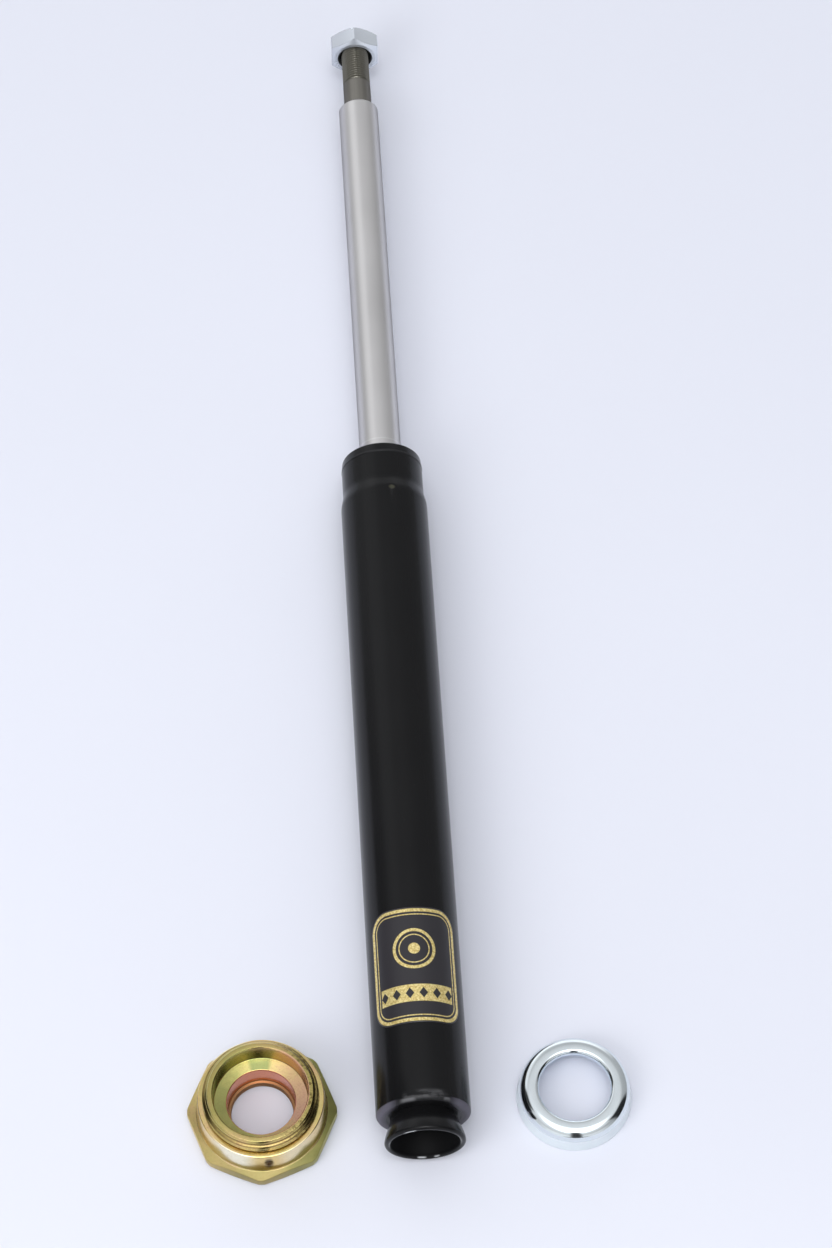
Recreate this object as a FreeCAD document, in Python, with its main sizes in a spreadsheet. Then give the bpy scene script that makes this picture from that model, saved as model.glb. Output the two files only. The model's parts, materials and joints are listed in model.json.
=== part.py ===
import FreeCAD, Part
import math
import os
from types import SimpleNamespace

import Sketcher

# A strut insert: an oil-filled twin-tube shock absorber lying on its side, with its gland nut and
# end cap standing loose beside it. The axis of the insert is +Y, from the foot to the rod's stud.
# The origin is on that axis, in the plane of the foot's rim, and +Z is up from the floor.

DRIVING_SIZES = [
    # outer tube
    ("tube_od", 41.0, "outside diameter of the outer tube"),
    ("tube_wall", 1.8, "sheet thickness of the outer tube"),
    ("tube_length", 338.0, "outer tube from its end face to its rolled top"),
    ("tube_end_round", 2.6, "outside radius of the corner at the foot end"),
    ("neck_od", 38.5, "outside diameter of the drawn-in neck"),
    ("neck_length", 19.7, "length of the neck, rolled top included"),
    ("shoulder_length", 6.0, "cone between the tube and the neck"),
    ("shoulder_round", 16.0, "radius where the cone runs into tube and neck"),
    ("roll_height", 3.6, "tapered band where the neck is rolled in"),
    ("roll_d", 37.2, "outside diameter of the rolled top at its edge"),
    ("roll_round", 1.6, "rounding of that edge"),
    ("roll_inner_round", 2.2, "rounding inside the rolled top"),
    ("lip_bore", 26.0, "opening that the rolled top leaves round the rod"),
    # foot
    ("foot_height", 12.0, "foot rim to the end face of the outer tube"),
    ("collar_rim_od", 35.0, "outside diameter of the foot collar at its rim"),
    ("collar_neck_od", 28.0, "outside diameter of the foot collar at its neck"),
    ("collar_wall", 2.6, "sheet thickness of the foot collar"),
    ("collar_rim_height", 4.0, "straight band at the rim of the foot collar"),
    ("collar_flare_height", 6.6, "height of the collar's flare"),
    ("collar_flare_round", 5.0, "radius where the flare runs into rim and neck"),
    ("collar_rim_round", 1.6, "rounding of the rim's outer edge"),
    ("base_thickness", 2.5, "sheet thickness of the base cap"),
    ("base_rim_height", 3.6, "height of the base cap's upturned rim"),
    ("base_gap", 0.3, "base cap's rim to the feet of the foot valve"),
    # cylinder and foot valve
    ("cylinder_bore", 30.0, "bore of the pressure tube"),
    ("cylinder_wall", 1.2, "wall of the pressure tube"),
    ("valve_skirt_height", 5.0, "feet of the foot valve's body"),
    ("valve_skirt_wall", 3.6, "wall of those feet"),
    ("valve_window_height", 3.4, "height of the oil windows between the feet"),
    ("valve_window_width", 9.0, "width of the oil windows between the feet"),
    ("valve_window_count", 4, "number of oil windows"),
    ("valve_flange_height", 4.0, "flange that carries the pressure tube"),
    ("valve_spigot_length", 5.0, "spigot inside the pressure tube"),
    ("valve_pin_d", 6.0, "rivet through the foot valve"),
    ("valve_pin_head_d", 10.0, "head of that rivet"),
    ("valve_pin_head_height", 2.0, "height of the rivet's head"),
    ("valve_pin_foot_d", 9.0, "closed end of the rivet"),
    ("valve_pin_foot_height", 1.5, "height of the closed end"),
    # valve plates, springs and discs
    ("plate_thickness", 0.5, "thickness of a check plate"),
    ("plate_lift", 0.8, "free lift of a check plate"),
    ("spring_thickness", 0.3, "sheet thickness of a star spring"),
    ("spring_legs", 6, "legs of a star spring"),
    ("spring_slot_width", 3.0, "gap between two legs of a star spring"),
    ("disc_thickness", 0.3, "thickness of one valve disc"),
    ("disc_step", 3.0, "fall in diameter from one valve disc to the next"),
    ("disc_count", 3, "discs in one pile"),
    ("hole_count", 6, "passages in each ring of a valve"),
    ("inner_passage_d", 2.2, "diameter of the passages under the discs"),
    ("outer_passage_d", 2.2, "diameter of the passages under the check plate"),
    ("passage_land", 0.8, "sealing land round a ring of passages"),
    ("foot_boss_d", 9.6, "boss under the foot valve's star spring"),
    # piston
    ("piston_height", 16.0, "height of the piston"),
    ("piston_gap", 0.35, "radial gap between the piston and its bore"),
    ("piston_boss_d", 12.4, "boss under the piston's star spring"),
    ("band_width", 8.0, "width of the piston band"),
    ("band_depth", 1.2, "depth of the band's groove"),
    ("stop_washer_thickness", 2.0, "washer between the rod's shoulder and the star spring"),
    ("stop_washer_d", 24.0, "diameter of that washer"),
    ("rebound_washer_thickness", 2.5, "washer under the rebound discs"),
    ("rebound_washer_d", 17.0, "diameter of that washer"),
    ("piston_nut_flats", 17.0, "piston nut across its flats"),
    ("piston_nut_height", 8.0, "height of the piston nut"),
    ("piston_nut_bevel", 0.8, "height of the bevel on the piston nut's corners"),
    # rod
    ("rod_d", 20.0, "diameter of the piston rod"),
    ("rod_reach", 221.5, "rolled top of the tube to the shoulder under the stud, rod out"),
    ("rod_chamfer", 2.7, "chamfer at the top of the rod"),
    ("stroke", 175.0, "travel of the rod"),
    ("bottom_gap", 5.0, "oil left under the piston with the rod right in"),
    ("spigot_d", 10.0, "threaded lower end of the rod, through the piston"),
    ("spigot_proud", 1.5, "lower end of the rod past the piston nut"),
    ("stud_d", 14.0, "plain shank under the stud's thread"),
    ("stud_length", 46.5, "whole stud, shank and thread"),
    ("shank_length", 16.2, "plain shank of the stud"),
    ("thread_d", 13.6, "outside diameter of the stud's thread, whose crests are rolled round"),
    ("edge_chamfer", 1.0, "chamfer on thread ends"),
    # rebound stop
    ("stop_height", 12.0, "height of the rebound stop"),
    ("stop_wall", 4.4, "wall of the rebound stop"),
    ("stop_round", 1.5, "rounding of the rebound stop's top"),
    ("stop_gap", 0.3, "rebound stop to the rod guide, rod out"),
    ("seat_thickness", 2.0, "washer under the rebound stop"),
    ("seat_wall", 3.2, "width of that washer"),
    ("ring_thickness", 1.5, "snap ring under the washer"),
    ("ring_wall", 2.4, "width of the snap ring"),
    ("ring_groove_depth", 0.9, "depth of the snap ring's groove in the rod"),
    ("ring_open_angle", 28.0, "opening of the snap ring, in degrees"),
    # rod guide and seal
    ("guide_spigot_length", 8.0, "rod guide inside the pressure tube"),
    ("guide_flange_height", 12.0, "rod guide above the pressure tube"),
    ("guide_ledge", 1.0, "ledge that keeps the bush from falling through"),
    ("guide_ledge_gap", 0.6, "ledge to the rod"),
    ("bush_wall", 1.0, "wall of the guide bush"),
    ("bush_length", 14.0, "length of the guide bush"),
    ("seal_recess_wall", 2.9, "rim of the rod guide round the seal's recess"),
    ("o_ring_wire", 1.4, "section of the rod guide's O-ring"),
    ("o_ring_height", 10.0, "O-ring above the pressure tube's end"),
    ("seal_height", 8.2, "rod seal between the guide and the seal washer"),
    ("seal_lip_wall", 1.9, "wall of the lower lip"),
    ("seal_lip_length", 3.6, "length of the lower lip"),
    ("seal_edge_length", 2.2, "length of each edge that wipes the rod"),
    ("seal_relief", 0.8, "relief between the two edges"),
    ("wiper_wall", 1.5, "wall of the upper lip"),
    ("wiper_proud", 1.0, "upper lip past the rolled top"),
    ("garter_wire", 1.3, "section of the garter spring"),
    ("seal_washer_thickness", 2.0, "washer under the rolled top"),
    # label
    ("label_start", 47.8, "foot rim to the lower edge of the label"),
    ("label_length", 54.8, "length of the label along the tube"),
    ("label_width", 35.6, "width of the label as seen from above"),
    ("label_thickness", 0.15, "thickness of the label"),
    ("label_lift", 0.02, "glue under the label"),
    ("label_round", 9.0, "corner radius of the label"),
    # nut on the stud
    ("rod_nut_flats", 24.0, "rod nut across its flats"),
    ("rod_nut_height", 11.0, "height of the rod nut"),
    ("rod_nut_place", 33.5, "stud's shoulder to the near face of the rod nut"),
    ("rod_nut_sink", 2.0, "countersink of the rod nut"),
    ("rod_nut_bevel", 1.1, "height of the bevel on the rod nut's corners"),
    # gland nut
    ("gland_flats", 61.0, "gland nut across its flats"),
    ("gland_blank_d", 65.0, "round bar that the nut's corners keep"),
    ("gland_head_height", 6.6, "eight-sided head of the gland nut"),
    ("gland_head_bevel", 1.2, "height of the bevel on the head's corners"),
    ("gland_body_foot_d", 56.6, "plain body of the gland nut at its head"),
    ("gland_body_d", 54.8, "plain body of the gland nut at its thread"),
    ("gland_body_height", 12.6, "height of the plain body"),
    ("gland_body_round", 0.6, "rounding of the shoulder at the thread"),
    ("gland_thread_d", 50.0, "outside diameter of the gland nut's thread"),
    ("gland_thread_length", 6.8, "length of that thread with its chamfer"),
    ("gland_thread_chamfer", 2.3, "chamfer at the start of the thread"),
    ("gland_socket_d", 41.0, "socket that goes over the insert's rolled top"),
    ("gland_socket_depth", 10.6, "depth of that socket down to its seat"),
    ("gland_seat_fall", 0.3, "fall of the seat from the socket's wall to the bore"),
    ("gland_bore_d", 29.6, "opening for the rod"),
    ("gland_lip_d", 27.0, "opening in the lip under the head"),
    ("gland_lip_height", 4.2, "height of that lip"),
    ("gland_turn", 42.5, "turn of the gland nut on the floor, in degrees"),
    ("gland_place_x", -69.4, "axis of the gland nut beside the insert"),
    ("gland_place_y", 26.0, "axis of the gland nut from the foot rim"),
    # end cap
    ("cap_od", 50.4, "outside diameter of the end cap at its mouth"),
    ("cap_top_d", 47.0, "outside diameter of the end cap's wall at its top"),
    ("cap_height", 12.2, "height of the end cap"),
    ("cap_sheet", 1.8, "sheet thickness of the end cap"),
    ("cap_round", 3.4, "outside radius of the cap's top edge"),
    ("cap_hole_d", 31.2, "hole in the end cap"),
    ("cap_lip", 3.2, "depth of the turned-down lip round the hole"),
    ("cap_lip_round", 1.8, "rounding of that lip"),
    ("cap_place_x", 66.5, "axis of the end cap beside the insert"),
    ("cap_place_y", 26.7, "axis of the end cap from the foot rim"),
    # clearances
    ("seat_gap", 0.05, "clearance of pieces that are fitted together for good"),
    ("run_gap", 0.05, "clearance of pieces that run on each other"),
    ("bevel_angle", 30.0, "bevel of nut corners, in degrees"),
]

doc = FreeCAD.newDocument("StrutInsert")
sheet = doc.addObject("Spreadsheet::Sheet", "Sizes")


class Size:
    """A number and the sheet expression that gives it, so that sums of sizes stay bound too."""

    def __init__(self, value, text):
        self.value = float(value)
        self.text = text

    def __float__(self):
        return self.value

    def __add__(self, other):
        return Size(self.value + float(other), f"({self.text} + {expression(other)})")

    def __sub__(self, other):
        return Size(self.value - float(other), f"({self.text} - {expression(other)})")

    def __mul__(self, other):
        return Size(self.value * float(other), f"({self.text} * {expression(other)})")

    def __truediv__(self, other):
        return Size(self.value / float(other), f"({self.text} / {expression(other)})")

    def __neg__(self):
        return Size(-self.value, f"(0 - {self.text})")


def expression(size):
    """The text that binds a size, which may be a plain number."""
    return size.text if isinstance(size, Size) else repr(float(size))


def read_sizes():
    """Fill the sheet and give back its cells by alias."""
    for row, (alias, number, meaning) in enumerate(DRIVING_SIZES, start=1):
        sheet.set(f"A{row}", meaning)
        sheet.set(f"B{row}", str(number))
        sheet.setAlias(f"B{row}", alias)
    doc.recompute()
    cells = {alias: Size(sheet.get(alias), f"Sizes.{alias}") for alias, _, _ in DRIVING_SIZES}
    return SimpleNamespace(**cells)


dim = read_sizes()

# Radii that several pieces share
tube_r = dim.tube_od / 2
tube_inner_r = tube_r - dim.tube_wall
neck_r = dim.neck_od / 2
neck_inner_r = neck_r - dim.tube_wall
inner_roll = dim.roll_inner_round
bore_r = dim.cylinder_bore / 2
rod_r = dim.rod_d / 2
rod_hole_r = rod_r + dim.run_gap
spigot_r = dim.spigot_d / 2
spigot_hole_r = spigot_r + dim.seat_gap
pin_hole_r = dim.valve_pin_d / 2 + dim.seat_gap
thread_r = dim.thread_d / 2

# Valve layout, from the boss outwards: discs over the inner passages, plate over the outer ones
spring_rise = dim.plate_thickness + dim.plate_lift
spring_stack = spring_rise + dim.spring_thickness
disc_stack = dim.disc_thickness * dim.disc_count
half_pitch = 180.0 / float(dim.hole_count)

# Stations along the axis, from the foot rim upwards
base_under = dim.foot_height + dim.tube_wall
base_top = base_under + dim.base_thickness
valve_floor = base_top + dim.valve_skirt_height
cylinder_foot = valve_floor + dim.valve_flange_height
valve_top = cylinder_foot + dim.valve_spigot_length
valve_head_under = valve_top + spring_stack
spigot_end = valve_head_under + dim.valve_pin_head_height + dim.bottom_gap + dim.stroke
piston_nut_under = spigot_end + dim.spigot_proud
rebound_washer_under = piston_nut_under + dim.piston_nut_height
discs_under = rebound_washer_under + dim.rebound_washer_thickness
piston_under = discs_under + disc_stack
piston_top = piston_under + dim.piston_height
stop_washer_under = piston_top + spring_stack
rod_shoulder = stop_washer_under + dim.stop_washer_thickness
tube_top = dim.foot_height + dim.tube_length
lip_under = tube_top - dim.tube_wall
seal_washer_under = lip_under - dim.seal_washer_thickness
guide_top = seal_washer_under - dim.seal_height
cylinder_head = guide_top - dim.guide_flange_height
guide_under = cylinder_head - dim.guide_spigot_length
stop_top = guide_under - dim.stop_gap
stop_under = stop_top - dim.stop_height
seat_under = stop_under - dim.seat_thickness
ring_under = seat_under - dim.ring_thickness
stud_shoulder = tube_top + dim.rod_reach
floor = -tube_r


def new_body(label, along=0, across_x=0, height=0):
    """A body whose own origin is placed on the sheet's stations."""
    body = doc.addObject("PartDesign::Body", label)
    body.Label = label
    place(body, along, across_x, height)
    return body


def place(piece, along=0, across_x=0, height=0):
    """Bind a piece's position: across the floor, along the insert's axis and up."""
    for letter, size in (("x", across_x), ("y", along), ("z", height)):
        if isinstance(size, Size):
            piece.setExpression(f"Placement.Base.{letter}", size.text)


def turn_upright(piece, angle):
    """Bind how far a piece is turned about the upright axis."""
    piece.Placement.Rotation = FreeCAD.Rotation(FreeCAD.Vector(0, 0, 1), float(angle))
    piece.setExpression("Placement.Rotation.Angle", f"{angle.text} * 1 deg")


def origin_feature(body, role):
    """One of a body's own origin planes or axes."""
    return next(f for f in body.Origin.OriginFeatures if f.Role == role)


def new_sketch(body, name, plane):
    """An empty sketch on one of the body's own origin planes."""
    sketch = body.newObject("Sketcher::SketchObject", name)
    sketch.AttachmentSupport = [(origin_feature(body, plane), "")]
    sketch.MapMode = "FlatFace"
    return sketch


def dimension(sketch, kind, references, size):
    """A driving dimension bound to the sheet."""
    index = sketch.addConstraint(Sketcher.Constraint(kind, *references, float(size)))
    if isinstance(size, Size):
        sketch.setExpression(f"Constraints[{index}]", size.text)


def hold_coordinate(sketch, run, size, before, kind, level, axis):
    """Hold one coordinate of a corner: level with the one before, on an axis, or dimensioned."""
    if before is not None and expression(before) == expression(size):
        sketch.addConstraint(Sketcher.Constraint(level, run - 1))
    elif float(size) == 0.0:
        sketch.addConstraint(Sketcher.Constraint("PointOnObject", run, 1, axis))
    else:
        dimension(sketch, kind, (-1, 1, run, 1), size)


def outline(body, name, plane, corners):
    """A closed outline of straight runs through (radius, height) corners."""
    sketch = new_sketch(body, name, plane)
    points = [FreeCAD.Vector(float(radius), float(height), 0) for radius, height in corners]
    count = len(points)
    sketch.addGeometry([Part.LineSegment(points[i], points[(i + 1) % count]) for i in range(count)])
    for run in range(count):
        sketch.addConstraint(Sketcher.Constraint("Coincident", run, 2, (run + 1) % count, 1))
    for run, (radius, height) in enumerate(corners):
        radius_before, height_before = corners[run - 1] if run else (None, None)
        hold_coordinate(sketch, run, radius, radius_before, "DistanceX", "Vertical", -2)
        hold_coordinate(sketch, run, height, height_before, "DistanceY", "Horizontal", -1)
    return sketch


def revolve(body, name, corners, plane="XY_Plane", kind="Revolution"):
    """Turn an outline about its plane's upright axis: added, or cut away with kind Groove."""
    before = body.Shape.Volume if kind == "Groove" else None
    sketch = outline(body, f"{name}_outline", plane, corners)
    feature = body.newObject(f"PartDesign::{kind}", name)
    feature.Profile = sketch
    feature.ReferenceAxis = (sketch, ["V_Axis"])
    feature.Angle = 360
    doc.recompute()
    check_cut(body, name, before)
    return feature


def check_cut(body, name, before):
    """A cut that points the wrong way removes nothing, so the volumes are compared."""
    if before is not None and not body.Shape.Volume < before:
        raise RuntimeError(f"{body.Label}: {name} removes nothing")


def turned(label, corners, along=0, plane="XY_Plane", across_x=0, height=0):
    """A sub-part that is one turned outline."""
    body = new_body(label, along, across_x, height)
    revolve(body, f"{label}_turned", corners, plane)
    return body


def round_edges(body, name, rounds, axis="Y"):
    """Round circular edges, each given as (radius of the edge, its height, radius of the rounding)."""
    for number, (edge_r, edge_height, radius) in enumerate(rounds):
        base = body.Tip
        found = [f"Edge{i}" for i, edge in enumerate(base.Shape.Edges, start=1)
                 if is_ring(edge, float(edge_r), float(edge_height), axis)]
        if not found:
            raise RuntimeError(f"{body.Label}: no edge to round for {name}")
        fillet = body.newObject("PartDesign::Fillet", f"{name}_{number}")
        fillet.Base = (base, found)
        fillet.Radius = float(radius)
        fillet.setExpression("Radius", radius.text)
        doc.recompute()


def is_ring(edge, radius, height, axis):
    """Whether an edge is the circle of this radius at this height on the axis."""
    if not isinstance(edge.Curve, Part.Circle):
        return False
    centre = edge.Curve.Center
    level = centre.y if axis == "Y" else centre.z
    return abs(edge.Curve.Radius - radius) < 1e-4 and abs(level - height) < 1e-4


def ring_of_holes(body, name, hole_d, circle_r, count, turn=0.0):
    """Drill one hole right through along the axis and repeat it round the circle."""
    before = body.Shape.Volume
    sketch = new_sketch(body, f"{name}_hole", "XZ_Plane")
    angle = math.radians(turn)
    centre = FreeCAD.Vector(float(circle_r) * math.cos(angle), float(circle_r) * math.sin(angle), 0)
    sketch.addGeometry(Part.Circle(centre, FreeCAD.Vector(0, 0, 1), float(hole_d) / 2))
    dimension(sketch, "Diameter", (0,), hole_d)
    dimension(sketch, "DistanceX", (-1, 1, 0, 3), circle_r * math.cos(angle))
    if turn:
        dimension(sketch, "DistanceY", (-1, 1, 0, 3), circle_r * math.sin(angle))
    else:
        sketch.addConstraint(Sketcher.Constraint("PointOnObject", 0, 3, -1))
    pocket = body.newObject("PartDesign::Pocket", f"{name}_pocket")
    pocket.Profile = sketch
    pocket.Type = "ThroughAll"
    pocket.Midplane = True
    repeat_round(body, name, pocket, (sketch, ["N_Axis"]), count)
    check_cut(body, name, before)


def repeat_round(body, name, feature, axis, count):
    """Repeat a feature evenly round an axis."""
    pattern = body.newObject("PartDesign::PolarPattern", name)
    pattern.Originals = [feature]
    pattern.Axis = axis
    pattern.Angle = 360
    pattern.Occurrences = int(float(count))
    pattern.setExpression("Occurrences", count.text)
    body.Tip = pattern
    doc.recompute()


def side_slots(body, name, corners, width, count):
    """Cut a slot of an outline's shape, as wide as given, and repeat it round the insert's axis."""
    before = body.Shape.Volume
    sketch = outline(body, f"{name}_outline", "XY_Plane", corners)
    pocket = body.newObject("PartDesign::Pocket", f"{name}_pocket")
    pocket.Profile = sketch
    pocket.Midplane = True
    pocket.Length = float(width)
    pocket.setExpression("Length", width.text)
    repeat_round(body, name, pocket, (origin_feature(body, "Y_Axis"), [""]), count)
    check_cut(body, name, before)


def regular_outline(body, name, plane, sides, flats, upright):
    """A regular polygon, so wide across its flats, with a corner on its plane's upright or level axis."""
    sketch = new_sketch(body, f"{name}_outline", plane)
    corner_r = flats * (0.5 / math.cos(math.pi / sides))
    start = math.pi / 2 if upright else 0.0
    angles = [start + 2 * math.pi * i / sides for i in range(sides)]
    corners = [FreeCAD.Vector(math.cos(a), math.sin(a), 0) * float(corner_r) for a in angles]
    runs = [Part.LineSegment(corners[i], corners[(i + 1) % sides]) for i in range(sides)]
    sketch.addGeometry(runs)
    round_corners = Part.Circle(FreeCAD.Vector(), FreeCAD.Vector(0, 0, 1), float(corner_r))
    circle = sketch.addGeometry(round_corners, True)
    sketch.addConstraint(Sketcher.Constraint("Coincident", circle, 3, -1, 1))
    dimension(sketch, "Radius", (circle,), corner_r)
    for run in range(sides):
        sketch.addConstraint(Sketcher.Constraint("Coincident", run, 2, (run + 1) % sides, 1))
        sketch.addConstraint(Sketcher.Constraint("PointOnObject", run, 1, circle))
    for run in range(1, sides):
        sketch.addConstraint(Sketcher.Constraint("Equal", 0, run))
    sketch.addConstraint(Sketcher.Constraint("PointOnObject", 0, 1, -2 if upright else -1))
    return sketch, corner_r


def prism(body, name, sides, flats, height):
    """A regular prism along the insert's axis, with a corner on top; gives the radius of its corners."""
    sketch, corner_r = regular_outline(body, name, "XZ_Plane", sides, flats, upright=True)
    pad = body.newObject("PartDesign::Pad", name)
    pad.Profile = sketch
    pad.Reversed = True
    pad.Length = float(height)
    pad.setExpression("Length", height.text)
    doc.recompute()
    return corner_r


def mill_flats(body, name, sides, flats, bar_r, height):
    """Mill flats on an upright turned bar: what lies outside a regular polygon goes."""
    sketch, corner_r = regular_outline(body, name, "XY_Plane", sides, flats, upright=False)
    past_bar = corner_r + bar_r
    outside = Part.Circle(FreeCAD.Vector(), FreeCAD.Vector(0, 0, 1), float(past_bar))
    circle = sketch.addGeometry(outside)
    sketch.addConstraint(Sketcher.Constraint("Coincident", circle, 3, -1, 1))
    dimension(sketch, "Radius", (circle,), past_bar)
    pocket = body.newObject("PartDesign::Pocket", name)
    pocket.Profile = sketch
    pocket.Reversed = True
    pocket.Length = float(height)
    pocket.setExpression("Length", height.text)
    doc.recompute()


def bevel_corners(body, name, corner_r, bevel, face, inwards, plane="XY_Plane"):
    """Turn an edge or a prism's corners down to a cone at one face; inwards is 1 up from it or -1 down."""
    slope = math.tan(math.radians(float(dim.bevel_angle)))
    bevel_r = corner_r - bevel / slope
    past_corner = corner_r + bevel
    past_height = (past_corner - bevel_r) * slope * inwards
    revolve(body, name, [
        (bevel_r, face), (past_corner, face), (past_corner, past_height + face),
    ], plane, "Groove")


def annulus(inner_r, outer_r, height):
    """The outline of a plain ring."""
    return [(inner_r, 0), (outer_r, 0), (outer_r, height), (inner_r, height)]


def loop(label, centre_r, section, along):
    """A ring of round section, such as an O-ring."""
    ring = doc.addObject("Part::Torus", label)
    ring.Label = label
    ring.setExpression("Radius1", centre_r.text)
    ring.setExpression("Radius2", (section / 2).text)
    ring.Placement = FreeCAD.Placement(FreeCAD.Vector(), FreeCAD.Rotation(FreeCAD.Vector(1, 0, 0), 90))
    place(ring, along)
    return ring


def disc_pile(label, hole_r, largest_r, top, along):
    """Flat discs laid face to face under a seat, each smaller than the one above it."""
    discs = []
    for number in range(int(float(dim.disc_count))):
        blank = doc.addObject("Part::Cylinder", f"{label}_blank_{number}")
        hole = doc.addObject("Part::Cylinder", f"{label}_hole_{number}")
        blank.setExpression("Radius", (largest_r - dim.disc_step / 2 * number).text)
        hole.setExpression("Radius", hole_r.text)
        for cylinder in (blank, hole):
            cylinder.setExpression("Height", dim.disc_thickness.text)
            upright = FreeCAD.Rotation(FreeCAD.Vector(1, 0, 0), -90)
            cylinder.Placement = FreeCAD.Placement(FreeCAD.Vector(), upright)
            place(cylinder, top - dim.disc_thickness * (number + 1))
        disc = doc.addObject("Part::Cut", f"{label}_{number}")
        disc.Base = blank
        disc.Tool = hole
        discs.append(disc)
    pile = doc.addObject("Part::Compound", label)
    pile.Label = label
    pile.Links = discs
    place(pile, along)
    return pile


def passage_radii(boss_r):
    """Radii of a valve's two rings of passages and of the plate and discs that cover them."""
    inner = boss_r + dim.passage_land + dim.inner_passage_d / 2
    disc = inner + dim.inner_passage_d / 2 + dim.passage_land
    outer = disc + dim.passage_land / 2 + dim.outer_passage_d / 2
    plate_inner = outer - dim.outer_passage_d / 2 - dim.passage_land / 2
    plate_outer = outer + dim.outer_passage_d / 2 + dim.passage_land / 2
    return SimpleNamespace(inner=inner, disc=disc, outer=outer,
                           plate_inner=plate_inner, plate_outer=plate_outer)


foot_rings = passage_radii(dim.foot_boss_d / 2)
piston_rings = passage_radii(dim.piston_boss_d / 2)


def outer_tube():
    """Drawn tube: turned in at the foot, necked at the top and rolled over the seal washer."""
    foot_hole_r = dim.collar_neck_od / 2 + dim.seat_gap
    lip_r = dim.lip_bore / 2
    neck_start = dim.tube_length - dim.neck_length
    shoulder_start = neck_start - dim.shoulder_length
    lip_inside = dim.tube_length - dim.tube_wall
    roll_r = dim.roll_d / 2
    body = turned("outer_tube", [
        (foot_hole_r, 0), (tube_r, 0), (tube_r, shoulder_start), (neck_r, neck_start),
        (neck_r, dim.tube_length - dim.roll_height), (roll_r, dim.tube_length), (lip_r, dim.tube_length),
        (lip_r, lip_inside), (neck_inner_r, lip_inside), (neck_inner_r, neck_start),
        (tube_inner_r, shoulder_start), (tube_inner_r, dim.tube_wall), (foot_hole_r, dim.tube_wall),
    ], along=dim.foot_height)
    round_edges(body, "tube_round", [
        (tube_r, 0, dim.tube_end_round),
        (tube_inner_r, dim.tube_wall, dim.tube_end_round - dim.tube_wall),
        (roll_r, dim.tube_length, dim.roll_round),
        (neck_inner_r, lip_inside, inner_roll),
        (tube_r, shoulder_start, dim.shoulder_round),
        (neck_r, neck_start, dim.shoulder_round),
        (tube_inner_r, shoulder_start, dim.shoulder_round),
        (neck_inner_r, neck_start, dim.shoulder_round),
    ])
    return body


def foot_collar():
    """Flared collar on the end of the tube, open at its rim and closed above by the base cap."""
    rim_r = dim.collar_rim_od / 2
    collar_r = dim.collar_neck_od / 2
    rim_inner_r = rim_r - dim.collar_wall
    collar_inner_r = collar_r - dim.collar_wall
    flare_top = dim.collar_rim_height + dim.collar_flare_height
    body = turned("foot_collar", [
        (rim_inner_r, 0), (rim_r, 0), (rim_r, dim.collar_rim_height), (collar_r, flare_top),
        (collar_r, base_under), (collar_inner_r, base_under), (collar_inner_r, flare_top),
        (rim_inner_r, dim.collar_rim_height),
    ])
    round_edges(body, "collar_round", [
        (rim_r, dim.collar_rim_height, dim.collar_flare_round),
        (collar_r, flare_top, dim.collar_flare_round),
        (rim_r, 0, dim.collar_rim_round),
    ])
    return body


def base_cap():
    """Dished cap that closes the tube above the foot collar."""
    cap_r = tube_inner_r - dim.seat_gap
    corner = dim.tube_end_round - dim.tube_wall + dim.seat_gap * 4
    wall_r = bore_r + dim.cylinder_wall + dim.base_gap
    return turned("base_cap", [
        (0, 0), (cap_r - corner, 0), (cap_r, corner), (cap_r, dim.base_rim_height),
        (wall_r, dim.base_rim_height), (wall_r, dim.base_thickness), (0, dim.base_thickness),
    ], along=base_under)


def pressure_tube():
    """Inner cylinder between the foot valve's flange and the rod guide."""
    wall = annulus(bore_r, bore_r + dim.cylinder_wall, cylinder_head - cylinder_foot)
    return turned("pressure_tube", wall, along=cylinder_foot)


def foot_valve_body():
    """Foot valve on four feet, with two rings of passages and a boss for the star spring."""
    flange_r = bore_r + dim.cylinder_wall
    skirt_r = flange_r - dim.valve_skirt_wall
    boss_r = dim.foot_boss_d / 2
    floor_height = dim.valve_skirt_height
    flange_height = floor_height + dim.valve_flange_height
    top = flange_height + dim.valve_spigot_length
    boss_height = top + spring_rise
    body = turned("foot_valve_body", [
        (skirt_r, 0), (flange_r, 0), (flange_r, flange_height), (bore_r - dim.seat_gap, flange_height),
        (bore_r - dim.seat_gap, top), (boss_r, top), (boss_r, boss_height), (pin_hole_r, boss_height),
        (pin_hole_r, floor_height), (skirt_r, floor_height),
    ], along=base_top)
    ring_of_holes(body, "foot_inner_passages", dim.inner_passage_d, foot_rings.inner, dim.hole_count)
    ring_of_holes(body, "foot_outer_passages", dim.outer_passage_d, foot_rings.outer, dim.hole_count,
                  half_pitch)
    past_wall = flange_r + dim.valve_skirt_wall
    window = [(skirt_r / 2, 0), (past_wall, 0), (past_wall, dim.valve_window_height),
              (skirt_r / 2, dim.valve_window_height)]
    side_slots(body, "foot_windows", window, dim.valve_window_width, dim.valve_window_count)
    return body


def foot_valve_pin():
    """Rivet that holds the discs under the foot valve and the star spring on top of it."""
    shank_r = dim.valve_pin_d / 2
    foot_r = dim.valve_pin_foot_d / 2
    head_r = dim.valve_pin_head_d / 2
    foot_top = dim.valve_pin_foot_height
    head_under = foot_top + disc_stack + dim.valve_flange_height + dim.valve_spigot_length + spring_stack
    head_top = head_under + dim.valve_pin_head_height
    body = turned("foot_valve_pin", [
        (0, 0), (foot_r, 0), (foot_r, foot_top), (shank_r, foot_top), (shank_r, head_under),
        (head_r, head_under), (head_r, head_top), (0, head_top),
    ], along=valve_floor - disc_stack - dim.valve_pin_foot_height)
    round_edges(body, "pin_head_round", [(head_r, head_top, dim.valve_pin_head_height / 2)])
    return body


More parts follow.
